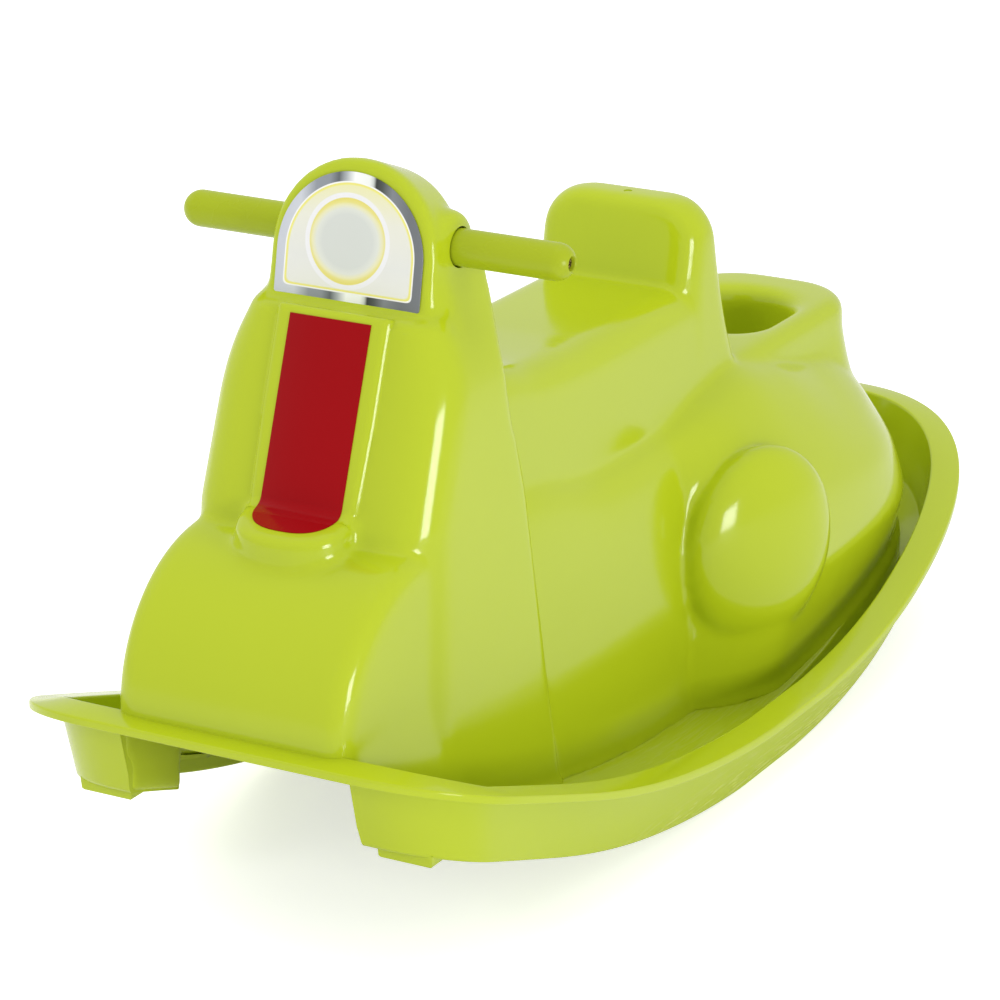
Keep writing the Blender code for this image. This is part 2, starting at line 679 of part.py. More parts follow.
def grip(name, side, material):
    """Hollow sleeve with a round closed tip and a recess for its screw."""
    bore = ROD_RADIUS + CLEARANCE
    tip = BAR_HALF_LENGTH
    pocket = tip - ROD_END_GAP + CLEARANCE
    profile = [(GRIP_INNER_END, bore), (GRIP_INNER_END, GRIP_RADIUS)]
    profile += [(x, radius) for x, radius in arc(tip - GRIP_RADIUS, 0, GRIP_RADIUS, 90, 22, 7)]
    profile += [(tip - SCREW_HEAD_HEIGHT - 3, SCREW_RECESS), (tip - SCREW_HEAD_HEIGHT - 3, SCREW_SHANK_RADIUS + CLEARANCE),
                (pocket, SCREW_SHANK_RADIUS + CLEARANCE), (pocket, bore), (GRIP_INNER_END, bore)]
    return turned(name, [(side * x, radius) for x, radius in profile], material)


def handlebar_core(material):
    """Solid rod with a pilot hole in each end for the screws."""
    end = BAR_HALF_LENGTH - ROD_END_GAP
    hole = SCREW_SHANK_RADIUS + CLEARANCE
    depth = SCREW_LENGTH
    half = [(end, ROD_RADIUS), (end, hole), (end - depth, hole), (end - depth, 0.0)]
    profile = [(-end + depth, 0.0), (-end + depth, hole), (-end, hole), (-end, ROD_RADIUS)] + half
    return turned("handlebar_core", profile, material, steps=20)


def end_screw(name, side, material):
    """Pan-head screw, driven along the grip into the rod's end."""
    seat = BAR_HALF_LENGTH - SCREW_HEAD_HEIGHT - 3 + CLEARANCE
    profile = [(seat - SCREW_LENGTH, 0.0), (seat - SCREW_LENGTH, SCREW_SHANK_RADIUS),
               (seat, SCREW_SHANK_RADIUS), (seat, SCREW_HEAD_RADIUS),
               (seat + SCREW_HEAD_HEIGHT, SCREW_HEAD_RADIUS - 0.6), (seat + SCREW_HEAD_HEIGHT, 0.0)]
    return turned(name, [(side * x, radius) for x, radius in profile], material, steps=16)


def lamp_label(material):
    """D-shaped foil on the head's face."""
    slant = math.atan(LEAN)
    base_z = LAMP_Z - LAMP_FOIL_DROP * math.cos(slant)
    outline = arc(0, LAMP_FOIL_STRAIGHT, LAMP_FOIL_HALF_WIDTH, 0, 180, 24)
    outline += [(-LAMP_FOIL_HALF_WIDTH, 0), (LAMP_FOIL_HALF_WIDTH, 0)]
    rings = []
    for lift in (HEAD_PROUD + CLEARANCE, HEAD_PROUD + CLEARANCE + FOIL):
        ring = []
        for x, up in outline:
            z = base_z + up * math.cos(slant) + lift * math.sin(slant)
            y = front_y(base_z) + up * math.sin(slant) - lift * math.cos(slant)
            ring.append((x, y, z))
        rings.append(ring)
    return loft("lamp_label", rings, material)


def stripe_label(material):
    """Red foil: down the channel, round the bend and out over the boss in a rounded tongue."""
    slant = math.atan(LEAN)
    bend_y = stripe_plane(STRIPE_BEND, STRIPE_CHANNEL_DEPTH)
    rows = []
    base_lift = CLEARANCE
    for lift in (base_lift, base_lift + FOIL):
        top_y = stripe_plane(STRIPE_TOP, STRIPE_CHANNEL_DEPTH) - lift * math.cos(slant)
        points = [(STRIPE_HALF_WIDTH, top_y, STRIPE_TOP + lift * math.sin(slant)),
                  (STRIPE_HALF_WIDTH, bend_y - lift, STRIPE_BEND + 1.2 * lift)]
        tongue = []
        for x, y in tongue_outline(0.0)[1:-1]:
            tongue.append((x, y - lift, boss_top(y) + lift))
        points += tongue
        points += [(-x, y, z) for x, y, z in reversed(points[:2])]
        rows.append(points)
    builder = bmesh.new()
    layers = [[builder.verts.new(Vector(point) * MM) for point in row] for row in rows]
    count = len(layers[0])
    for index in range(count):
        after = (index + 1) % count
        builder.faces.new((layers[0][index], layers[0][after], layers[1][after], layers[1][index]))
    for layer in layers:
        builder.faces.new((layer[0], layer[1], layer[-2], layer[-1]))
        builder.faces.new(layer[1:-1])
    return add_object("stripe_label", builder, material)


def build():
    clear_scene()
    green = plastic("lime_polypropylene", GREEN, 0.12)
    grip_green = plastic("lime_grip_polypropylene", GRIP_GREEN, 0.25)
    rod = plastic("white_polypropylene_rod", (0.8, 0.8, 0.78, 1.0), 0.4)
    steel = plastic("zinc_plated_steel", (0.55, 0.55, 0.57, 1.0), 0.3, 1.0)
    lamp = plastic("printed_lamp_foil", (0.75, 0.75, 0.68, 1.0), 0.3)
    stripe = plastic("red_foil", (0.34, 0.01, 0.016, 1.0), 0.4)
    body_shell(green)
    handlebar_core(rod)
    for side, hand in ((1, "left"), (-1, "right")):
        grip("grip_" + hand, side, grip_green)
        end_screw("end_screw_" + hand, side, steel)
    lamp_label(lamp)
    stripe_label(stripe)


build()
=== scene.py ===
# %% [markdown]
# # A moulded rocking scooter
# A toddler's rocker shaped like a motor scooter: one hollow, glossy moulding of lime-green plastic
# with a saddle, a backrest and a storage tub, a handlebar pushed through the head, and two foils.

from math import acos, atan, copysign, cos, dist, pi, radians, sin, sqrt, tan

import bmesh
import bpy
from mathutils import Matrix, Vector


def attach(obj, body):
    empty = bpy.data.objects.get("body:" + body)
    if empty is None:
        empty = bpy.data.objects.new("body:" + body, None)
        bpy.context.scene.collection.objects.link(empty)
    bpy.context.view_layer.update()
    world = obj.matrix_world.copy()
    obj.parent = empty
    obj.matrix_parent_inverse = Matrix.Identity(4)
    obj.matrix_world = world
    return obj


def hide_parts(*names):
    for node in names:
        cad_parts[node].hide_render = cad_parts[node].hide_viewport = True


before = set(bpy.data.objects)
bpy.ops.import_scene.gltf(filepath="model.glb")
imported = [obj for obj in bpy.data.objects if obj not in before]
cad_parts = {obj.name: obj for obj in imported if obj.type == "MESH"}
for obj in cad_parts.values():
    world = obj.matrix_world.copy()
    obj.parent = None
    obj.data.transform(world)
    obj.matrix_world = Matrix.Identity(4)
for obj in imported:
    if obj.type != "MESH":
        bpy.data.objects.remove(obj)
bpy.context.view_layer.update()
MM = 0.001
print("frame loaded with", len(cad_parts), "nodes")

# %% [markdown]
# ## Small tools for shapes
# A soft moulding is easiest to describe by a few measured stations with a smooth curve through them.
# `curve` is that smooth line. It never swings past its stations, so no bump appears between them.

# %% Curves and outlines


def curve(*stations):
    """A smooth line through (place, value) stations, without overshoot."""
    places = [place for place, value in stations]
    values = [value for place, value in stations]
    steps = []
    for index in range(len(places) - 1):
        steps.append((values[index + 1] - values[index]) / (places[index + 1] - places[index]))
    slopes = [steps[0]]
    for before, after in zip(steps, steps[1:]):
        slopes.append(0.0 if before * after <= 0 else 2 * before * after / (before + after))
    slopes.append(steps[-1])

    def value_at(place):
        place = min(max(place, places[0]), places[-1])
        index = 0
        while index < len(places) - 2 and place > places[index + 1]:
            index += 1
        span = places[index + 1] - places[index]
        t = (place - places[index]) / span
        start = (1 + 2 * t) * (1 - t) ** 2 * values[index] + t * (1 - t) ** 2 * span * slopes[index]
        end = t * t * (3 - 2 * t) * values[index + 1] + t * t * (t - 1) * span * slopes[index + 1]
        return start + end

    return value_at


def spread(start, end, count):
    """Evenly spread numbers from start to end, both included."""
    return [start + (end - start) * index / (count - 1) for index in range(count)]


def arc(centre_a, centre_b, radius, start, end, count):
    """Points of an arc, angles in degrees."""
    turns = [radians(angle) for angle in spread(start, end, count)]
    return [(centre_a + radius * cos(turn), centre_b + radius * sin(turn)) for turn in turns]


def rounding(distance, radius):
    """How far an edge of a radius has drawn back at a distance below its top."""
    reach = min(max(radius - distance, 0.0), radius)
    return radius - sqrt(radius * radius - reach * reach)


def plan_ring(z, front, rear, half_width, front_edge, rear_edge):
    """Rounded rectangle in plan, symmetric about the middle."""
    half = [(0.0, rear)] + arc(half_width - rear_edge, rear - rear_edge, rear_edge, 90, 0, 14)
    half += [(half_width, y) for y in spread(rear - rear_edge, front + front_edge, 14)[1:-1]]
    half += arc(half_width - front_edge, front + front_edge, front_edge, 0, -90, 14) + [(0.0, front)]
    return [(x, y, z) for x, y in half + [(-x, y) for x, y in reversed(half[1:-1])]]


print("halfway along a smooth line from 0 to 4:", curve((0, 0), (2, 4))(1))

# %% [markdown]
# ## Skinning a row of outlines
# `skin` moves a circle of edges onto the first outline and extrudes it on to each next one. A whole
# number on every point says which place of the outline it belongs to, and the extrusion copies that
# number along. A form that runs around, such as the rim, joins its own start; any other form is
# closed at both ends.

# %% Skins


def skin(rings, around=False):
    """A closed form through outlines of equally many points, in millimetres."""
    form = bmesh.new()
    place = form.verts.layers.int.new("place")
    made = bmesh.ops.create_circle(form, segments=len(rings[0]), radius=1.0, cap_ends=not around)
    for index, vert in enumerate(made["verts"]):
        vert[place] = index
        vert.co = Vector(rings[0][index]) * MM
    edges = list(form.edges)
    for ring in list(rings[1:]) + ([rings[0]] if around else []):
        grown = bmesh.ops.extrude_edge_only(form, edges=edges)["geom"]
        fresh = {item for item in grown if isinstance(item, bmesh.types.BMVert)}
        edges = [item for item in grown if isinstance(item, bmesh.types.BMEdge)
                 and item.verts[0] in fresh and item.verts[1] in fresh]
        for vert in fresh:
            vert.co = Vector(ring[vert[place]]) * MM
    if around:
        bmesh.ops.remove_doubles(form, verts=form.verts, dist=0.0000001)
    else:
        bmesh.ops.contextual_create(form, geom=edges)
    bmesh.ops.recalc_face_normals(form, faces=form.faces)
    return form


def placed(name, data):
    """A new object of the scene."""
    made = bpy.data.objects.new(name, data)
    bpy.context.scene.collection.objects.link(made)
    return made


def piece(name, form, material=None):
    """Turn a bmesh into an object of the scene."""
    mesh = bpy.data.meshes.new(name)
    form.to_mesh(mesh)
    form.free()
    if material:
        mesh.materials.append(material)
    return placed(name, mesh)


def combine(target, others, operation):
    """Join other closed forms to the target, or cut them out of it, and clear them away."""
    for form in others:
        tool = piece("tool", form)
        modifier = target.modifiers.new("combine", 'BOOLEAN')
        modifier.operation = operation
        modifier.solver = 'MANIFOLD'
        modifier.object = tool
        settle(target)
        bpy.data.objects.remove(tool, do_unlink=True)


def taken(target):
    """An object's form as a bmesh; the object itself is cleared away."""
    form = bmesh.new()
    form.from_mesh(target.data)
    bpy.data.objects.remove(target, do_unlink=True)
    return form


def settle(target):
    """Turn the result of an object's modifiers into its own mesh."""
    graph = bpy.context.evaluated_depsgraph_get()
    settled = bpy.data.meshes.new_from_object(target.evaluated_get(graph))
    target.modifiers.clear()
    old = target.data
    target.data = settled
    bpy.data.meshes.remove(old)


def soften_shading(target, angle):
    """Shade smoothly, but keep edges that are sharper than an angle in degrees."""
    target.data.shade_smooth()
    target.data.set_sharp_from_angle(angle=radians(angle))


print("tools for skins, joining and shading are ready")

# %% [markdown]
# ## The rocker's arc and the tray's outline
# The whole underside follows one large circle, with a short flat in the middle and straight ends.
# `rise` gives its height anywhere along the toy, so every later shape can stand on the same curve.
# The outline in plan is one list of stations. A smaller one for an inner wall comes from the same
# function, so the walls stay parallel.

# %% Arc and tray outline
ROCK_RADIUS = 880.0
ROCK_LOW_Y = -4.0
REST_FLAT = 76.0
ARC_FRONT = -282.0
ARC_REAR = 181.0
FLOOR_HEIGHT = 22.0
TRAY_FRONT = -423.0
TRAY_REAR = 423.0
TRAY_HALF_WIDTH = 168.0
TRAY_CORNER = 70.0
NARROW_FROM = -160.0
NARROW_LENGTH = 263.0
NARROW_BY = 18.0
ROUND_FROM = 40.0
ROUND_POWER = 2 / 2.6
FRONT_STATIONS = 13


def rise(y):
    """Height of the rocker's underside at a place along the toy."""
    reach = max(abs(y - ROCK_LOW_Y), REST_FLAT / 2)
    end = ARC_REAR - ROCK_LOW_Y if y > ROCK_LOW_Y else ROCK_LOW_Y - ARC_FRONT
    on_arc = min(reach, end)
    flat = sqrt(ROCK_RADIUS ** 2 - (REST_FLAT / 2) ** 2)
    height = flat - sqrt(ROCK_RADIUS ** 2 - on_arc ** 2)
    slope = end / sqrt(ROCK_RADIUS ** 2 - end ** 2)
    return height + (reach - on_arc) * slope


def tray_outline(inset, front):
    """Stations (y, half width) of the tray's outline from the front's middle round to the rear."""
    corner = max(TRAY_CORNER - inset, 2.0)
    widest = TRAY_HALF_WIDTH - inset

    def side(y):
        share = max(0.0, (NARROW_FROM - y) / NARROW_LENGTH)
        return widest - NARROW_BY * share ** 2

    narrowed = max(0.0, (NARROW_FROM - front - corner) / NARROW_LENGTH)
    lean = atan(2 * NARROW_BY / NARROW_LENGTH * narrowed)
    centre_y = front + corner
    first = centre_y - corner * sin(lean)
    centre_x = side(first) - corner * cos(lean)
    stations = [(front, x) for x in spread(0.0, centre_x, FRONT_STATIONS + 1)[:-1]]
    for turn in spread(pi / 2, lean, 14):
        stations.append((centre_y - corner * sin(turn), centre_x + corner * cos(turn)))
    stations += [(y, side(y)) for y in spread(first, ROUND_FROM, 60)[1:]]
    rear = TRAY_REAR - inset
    for share in spread(0.0, 1.0, 60)[1:]:
        turn = pi / 2 * (1 - (1 - share) ** 1.25)
        along = sin(turn) ** ROUND_POWER
        across = max(cos(turn), 0.0) ** ROUND_POWER
        stations.append((ROUND_FROM + (rear - ROUND_FROM) * along, widest * across))
    return stations


def tray_block(inset, front, top, foot):
    """A block that follows the tray's outline and the rocker's arc."""
    rings = []
    for y, x in tray_outline(inset, front)[FRONT_STATIONS:-1]:
        high = rise(y) + top
        low = rise(y) + foot
        rings.append([(x, y, high), (x, y, low), (-x, y, low), (-x, y, high)])
    return skin(rings)


print("rise at the front", round(rise(TRAY_FRONT), 1), "mm")

# %% [markdown]
# ## The tray
# Its wall is one section that runs right around the toy: floor edge, groove, wall, crest, sloping
# flange, turned-down lip, outer wall and runner. Every corner is a short curve, because the light on
# a moulding's crests shows its thickness.

# %% Tray section


def bent(corners, count=6):
    """Round every corner of a section, each corner given with how far its curve reaches."""
    points = []
    for index, (corner, reach) in enumerate(corners):
        before = Vector(corners[index - 1][0])
        after = Vector(corners[(index + 1) % len(corners)][0])
        here = Vector(corner)
        if reach == 0.0:
            points.append(here)
            continue
        start = here + (before - here) * (reach / dist(before, here))
        end = here + (after - here) * (reach / dist(after, here))
        for t in spread(0.0, 1.0, count):
            points.append(start * (1 - t) ** 2 + here * 2 * t * (1 - t) + end * t * t)
    return points


def tray_wall():
    """The rim, groove and runner as one section that is carried around the tray's outline."""
    # Each row: inset at the sides, place at the front, height over the arc, 1 where it keeps to
    # the rim's own height, and how far the corner's rounding reaches.
    rows = [
        (52.0, -334.0, FLOOR_HEIGHT, 0.0, 0.0),
        (44.0, -342.0, FLOOR_HEIGHT, 0.0, 2.5),
        (43.0, -343.0, 3.0, 0.0, 3.0),
        (25.0, -384.5, 3.0, 0.0, 4.0),
        (20.0, -404.0, 47.0, 1.0, 2.2),
        (0.0, TRAY_FRONT, 45.0, 1.0, 1.8),
        (0.0, TRAY_FRONT, 40.0, 1.0, 1.0),
        (3.2, -419.8, 40.0, 1.0, 1.0),
        (3.2, -419.8, 42.5, 1.0, 0.8),
        (17.0, -406.0, 44.0, 1.0, 3.0),
        (22.0, -392.0, 0.0, 0.0, 2.5),
        (47.0, -339.0, 0.0, 0.0, 2.0),
        (47.0, -339.0, 19.0, 0.0, 1.5),
        (52.0, -334.0, 19.0, 0.0, 0.0),
    ]
    section = bent([(Vector(row[:4]), row[4]) for row in rows])
    edge = tray_outline(0.0, TRAY_FRONT)
    outlines = [(tray_outline(inset, front), height, rim) for inset, front, height, rim in section]
    half = []
    for station in range(len(edge)):
        ring = []
        for outline, height, rim in outlines:
            y, x = outline[station]
            base = rise(y) * (1 - rim) + rise(edge[station][0]) * rim
            ring.append((x, y, base + height))
        half.append(ring)
    other = [[(-x, y, z) for x, y, z in ring] for ring in reversed(half[1:-1])]
    return skin(half + other, around=True)


print("tray section: one closed loop of corners, carried around the outline")

# %% [markdown]
# ## Front legs and stop pads
# The tray's corners reach down as two legs. The open space between them is one block cut out of the
# tray, which is simpler than modelling each leg, and a thin side closes each leg again. The stepped
# pads stop the toy when it tips fully forward; each pad's top follows the floor inside the leg.

# %% Legs and pads
LEG_INSIDE = 75.5
GAP_FRONT = -450.0
GAP_HEIGHTS = (-60.0, rise(TRAY_FRONT) + 38.0)
DRUM_HALF_WIDTH = 77.0
DRUM_Y = -316.0
DRUM_Z = 137.0
PAD_X = 100.0


def fender_width(z):
    return DRUM_HALF_WIDTH + 0.11 * (DRUM_Z - z)


def slab(levels):
    """A form through flat rectangles: (z, half width, front, rear)."""
    rings = []
    for z, width, front, rear in levels:
        rings.append([(width, front, z), (width, rear, z), (-width, rear, z), (-width, front, z)])
    return skin(rings)


def leg_gap(grow=0.0):
    """The open space between the front legs, under the fender."""
    return slab([(z, LEG_INSIDE + grow, GAP_FRONT, -342.0) for z in GAP_HEIGHTS])


def leg_side(side):
    """The inner side of a front leg, from the runner up into the fender."""
    rear = -339.6
    front = -390.0
    edge = [(rear, rise(rear) + 0.8), (rear, 133.0), (-400.0, 131.0), (-400.5, 128.0),
            (front, rise(front) + 0.8)]
    inner = [(side * LEG_INSIDE, y, z) for y, z in edge]
    outer = [(side * (fender_width(z) - 0.3), y, z) for y, z in edge]
    return skin([inner, outer])


tray = piece("tray", tray_wall())
combine(tray, [tray_block(50.0, -336.0, FLOOR_HEIGHT - 0.15, 19.15)], 'UNION')
combine(tray, [leg_gap(0.6)], 'DIFFERENCE')
pads = []
for side in (-1, 1):
    pad = slab([(71.6, 16.2, -382.2, -362.8), (72.8, 17.2, -383.0, -362.0), (90.0, 17.8, -383.4, -361.6)])
    for vert in pad.verts:
        if vert.co.z > 80.0 * MM:
            vert.co.z = (rise(vert.co.y / MM) + 1.5) * MM
    bmesh.ops.translate(pad, verts=pad.verts, vec=Vector((side * PAD_X, 0.0, 0.0)) * MM)
    pads.append(pad)
combine(tray, pads, 'UNION')
print("tray:", len(tray.data.polygons), "faces")

# %% [markdown]
# ## The upper forms
# Column, head, fender, saddle, backrest, tub and flared body are skins through outlines. Each form
# on the floor is widened by a small foot, the soft inner corner of a moulding.

# %% Feet on the floor
FOOT = 4.0


def footed(outline):
    """The lowest outlines of a form that stands on the curved floor, widened by its foot."""
    rings = [[(x, y, -50.0) for x, y, z in outline(-FOOT)]]
    for above, grow in ((-1.0, FOOT), (0.3, FOOT - 0.4), (1.2, 2.2), (2.4, 1.0), (4.5, 0.0)):
        rings.append([(x, y, rise(y) + FLOOR_HEIGHT + above) for x, y, z in outline(-grow)])
    return rings


print("a foot adds", FOOT, "mm where a wall meets the floor")

# %% [markdown]
# ## Leg shield and column
# The shield leans back and narrows to the shoulders under the head. Its width, its corner radius and
# its back are three curves over the height. The ledge under the head is a short passage between the
# shield's leaning face and the head's steeper one.

# %% Column
LEAN_Z = 392.0
SHIELD_LEAN = 0.348
HEAD_LEAN = 0.18
LEDGE_Z = 351.0


def shield_plane(z):
    """Where the leg shield's face lies at a height."""
    return -272.0 + (z - LEAN_Z) * SHIELD_LEAN


def lamp_plane(z):
    """Where the head's face lies at a height; it stands steeper than the leg shield."""
    return -266.6 + (z - LEAN_Z) * HEAD_LEAN


def column_form(inset):
    """The leg shield with its shoulders, from the floor into the head."""
    half_width = curve((22, 83), (225, 81), (272, 80), (298, 79.3), (312, 78), (326, 74.5), (337, 70),
                       (351, 63), (360, 60), (370, 57), (380, 55), (388, 52))
    edge = curve((22, 30), (234, 30), (312, 30), (337, 26), (352, 20), (375, 13), (388, 13))
    rear = curve((22, -138), (92, -160), (142, -175), (190, -189), (255, -209), (312, -223), (324, -222.5),
                 (337, -218), (352, -211.3), (375, -209.3), (388, -215))

    def outline(z, shrink):
        share = min(max((z + max(shrink, 0.0) - LEDGE_Z) / 3.0, 0.0), 1.0)
        front = max(-327.0, shield_plane(z)) * (1 - share) + (lamp_plane(z) + 1.5) * share
        return plan_ring(z, front + shrink, rear(z) - shrink, half_width(z) - shrink,
                         max(edge(z) - shrink, 2.0), max(4.0 - shrink, 1.5))

    rings = footed(lambda grow: outline(100.0, grow + inset))
    heights = [236.0 + 4.0 * step for step in range(38)]
    heights += [346.0, 351.0, 352.0, 353.0, 354.0, 356.0, 358.0, 388.0]
    for z in sorted(set(heights)):
        rings.append([(x, y, z - inset * (z > 386)) for x, y, level in outline(z, inset)])
    return skin(rings)


print("the ledge under the head is", round(lamp_plane(LEDGE_Z) - shield_plane(LEDGE_Z), 1), "mm deep")

# %% [markdown]
# ## Head and handlebar ears
# The head is a half round on straight sides, drawn backwards. Its edges are rounded by outlines that
# shrink over the last millimetres. The ears are one turned form across the head, with an upright
# groove below each.

# %% Head and ears
HEAD_RADIUS = 55.0
HEAD_DEPTH = 50.0
HEAD_EDGE = 6.0
BAR_Y = -239.0
BAR_Z = 387.0


def head_form(inset):
    """The round head: its face is steep, its back leans with the leg shield."""
    leans = (atan(HEAD_LEAN), atan(SHIELD_LEAN))
    centres = (Vector((lamp_plane(386.0), 383.6)), Vector((-226.5, 371.6)))
    depths = [(HEAD_EDGE * (1 - cos(turn)), HEAD_EDGE * (1 - sin(turn)))
              for turn in spread(0.0, pi / 2, 8)]
    steps = [(inset + back, shrink) for back, shrink in depths]
    steps += [(HEAD_DEPTH - inset - 1.5 * back, 1.5 * shrink) for back, shrink in reversed(depths)]
    rings = []
    for back, shrink in steps:
        share = back / HEAD_DEPTH
        lean = leans[0] * (1 - share) + leans[1] * share
        y, z = centres[0] * (1 - share) + centres[1] * share
        side = HEAD_RADIUS - inset - shrink - 4.0 * share
        outline = arc(0, 0, side, 0, 180, 60) + [(-side, -34), (side, -34)]
        rings.append([(x, y + up * sin(lean), z + up * cos(lean)) for x, up in outline])
    return skin(rings)


def ear_knobs():
    """The two rounded ears that hold the bar, drawn as one form across the head."""
    half = [(55.6, 13.4), (55.4, 15.0), (54.4, 17.0), (52.4, 19.0), (49.8, 20.2), (47.0, 20.5)]
    rings = []
    for x, radius in half + [(-x, radius) for x, radius in reversed(half)]:
        rings.append([(x, y, z) for y, z in arc(BAR_Y, BAR_Z + 0.5, radius, 0, 354, 60)])
    return skin(rings)


def ear_recess(side):
    """The upright groove in the head's side, under the ear."""
    front = -266.0
    rear = -257.0
    out = side * 75.0
    rings = []
    for z, depth in ((343.0, 66.0), (345.0, 64.8), (366.0, 56.6), (368.0, 57.0)):
        deep = side * depth
        rings.append([(deep, front, z), (out, front, z), (out, rear, z), (deep, rear, z)])
    return skin(rings)


def bar_hole(radius, reach):
    """The round hole that the handlebar passes through."""
    circle = arc(BAR_Y, BAR_Z, radius, 0, 360 - 360 / 64, 64)
    return skin([[(x, y, z) for y, z in circle] for x in (-reach, reach)])


print("the head is", 2 * HEAD_RADIUS, "mm wide")

# %% [markdown]
# ## Front fender
# A quarter drum over where a scooter's wheel would be, on a base that widens downwards. The drum is
# skinned across the toy, so its rounded side edges are part of the same skin.

# %% Fender
DRUM_RADIUS = 94.0
FENDER_EDGE = 14.0


def fender_drum(inset):
    """The quarter drum with its rounded side edges."""
    radius = DRUM_RADIUS - inset
    edge = FENDER_EDGE - inset / 2
    half = []
    for turn in spread(0.0, pi / 2, 10):
        width = DRUM_HALF_WIDTH - inset - edge * (1 - cos(turn))
        half.append((width, radius - edge * (1 - sin(turn))))
    sections = [(-x, drum) for x, drum in half] + [(x, drum) for x, drum in reversed(half)]
    rings = []
    for x, drum in sections:
        ring = [(x, -287.0, 129.0), (x, -287.0, DRUM_Z + drum)]
        ring += [(x, y, z) for y, z in arc(DRUM_Y, DRUM_Z, drum, 90, 180, 48)]
        rings.append(ring + [(x, DRUM_Y - drum, 129.0)])
    return skin(rings)


def fender_base(inset):
    """The base under the drum, which widens slowly downwards."""
    front = -410.0 + inset

    def ring(z):
        near = front - 0.6 + 0.8 * (z - 88.0) / 52.0
        return plan_ring(z, near, -285.0, fender_width(z) - inset, FENDER_EDGE - inset / 2, 2.0)

    low = [(x, y, -50.0) for x, y, z in ring(80.0)]
    return skin([low] + [ring(z) for z in spread(70.0, 140.0, 12)])


print("the fender's top is at", DRUM_Z + DRUM_RADIUS, "mm")

# %% [markdown]
# ## Saddle and backrest
# The saddle is a long section with rounded shoulders that rises a little towards the shield. The
# backrest is thick at its foot and has broad rounded corners at the top.

# %% Saddle and backrest
BACK_TOP = 338.5


def seat_form(inset, foot):
    """The saddle: a rounded section carried from the shield to the backrest."""
    top_line = curve((-260, 301), (-205, 300), (-183, 298), (-142, 290), (-100, 286.5), (-66, 285),
                     (82, 284.5))
    half_width = 57.0 - inset
    edge = 20.0 - inset / 2
    rings = []
    for y in spread(-232.0, 82.0, 50):
        top = top_line(y) - inset
        right = [(half_width + 3, y, foot), (half_width + 0.8, y, top - edge - 30)]
        right += [(x, y, z) for x, z in arc(half_width - edge, top - edge, edge, 0, 90, 14)]
        rings.append([(-x, y, z) for x, y, z in right] + list(reversed(right)))
    return skin(rings)


def backrest_form(inset, foot):
    """The block behind the saddle, with broad round corners at its top."""
    front = curve((150, 51), (285, 54), (301, 57), (BACK_TOP, 64))
    rear = curve((150, 140), (221, 128), (252, 116), (295, 103), (324, 97), (BACK_TOP, 95))
    rings = []
    for z in spread(foot, 308.0, 28) + spread(310.0, BACK_TOP, 26):
        below = BACK_TOP - z
        thin = rounding(below, 8.0)
        narrow = rounding(below, 27.0)
        near = front(z) + thin + inset
        far = rear(z) - thin - inset
        width = 57.2 + 2.0 * (285.0 - z) / 135.0 * (z < 285.0) - narrow - inset
        edge = min(16.0 - inset, (far - near) / 2 - 0.5)
        rings.append(plan_ring(z - inset * (z > 300), near, far, width, edge, edge))
    return skin(rings)


print("the backrest's top is at", BACK_TOP, "mm")

# %% [markdown]
# ## Storage tub
# The tub flares towards the bottom. Its lip is broad and round, because the outside draws in and the
# cavity widens near the top. The cavity is cut out of the moulding and, grown by the wall's thickness,
# it also keeps the hollow away from the tub.

# %% Tub
TUB_TOP = 223.0
TUB_FLOOR = 152.0


def tub_form(inset, foot):
    """The tub's outside, which also fills the space under the backrest."""
    flare = curve((60, 12), (152, 10), (185, 3), (205, 0), (224, 0))
    rings = []
    for z in spread(foot, 208.0, 20) + spread(211.0, TUB_TOP, 16):
        draw_in = rounding(TUB_TOP - z, 11.0)
        width = 61.0 + flare(z) - draw_in - inset
        rear = 316.0 + flare(z) - draw_in - inset
        rings.append(plan_ring(z - inset * (z > 200), 102.0, rear, width, 6.0, 46.0 + flare(z) - draw_in))
    return skin(rings)


def tub_cavity(grow):
    """The room in the tub, open at its top."""
    mouth = 39.5
    width = curve((TUB_FLOOR, 34), (165, 37.5), (211, mouth), (TUB_TOP, mouth))
    rear = curve((TUB_FLOOR, 262), (165, 268), (211, 273), (TUB_TOP, 273))
    rings = []
    levels = spread(TUB_FLOOR, 170.0, 12) + spread(175.0, 213.0, 10) + spread(214.5, TUB_TOP, 10)
    for z in levels + [290.0]:
        widen = rounding(TUB_TOP - min(z, TUB_TOP), 10.5) - rounding(z - TUB_FLOOR, 8.0)
        half = width(z) + widen + grow
        front = 176.0 - widen - grow + (mouth - width(z)) * 0.5
        far = rear(z) + widen + grow
        corners = (min(30.0, half - 1.0), min(42.0, half - 1.0))
        rings.append(plan_ring(z - grow * (z < 200.0), front, far, half, *corners))
    return skin(rings)


print("the tub is", TUB_TOP - TUB_FLOOR, "mm deep")

# %% [markdown]
# ## Flared body and domes
# Beside the rider's legs the body is narrow, behind them it swells out and runs round the back. In
# plan the back is nearly square low down and round at the shoulder; a power on the circle's sine and
# cosine makes that change. Each side carries a shallow dome, a flattened sphere.

# %% Body and domes
BODY_REAR = 328.0
WIDEST_Y = 120.0
FLANK_END_Y = 9.0


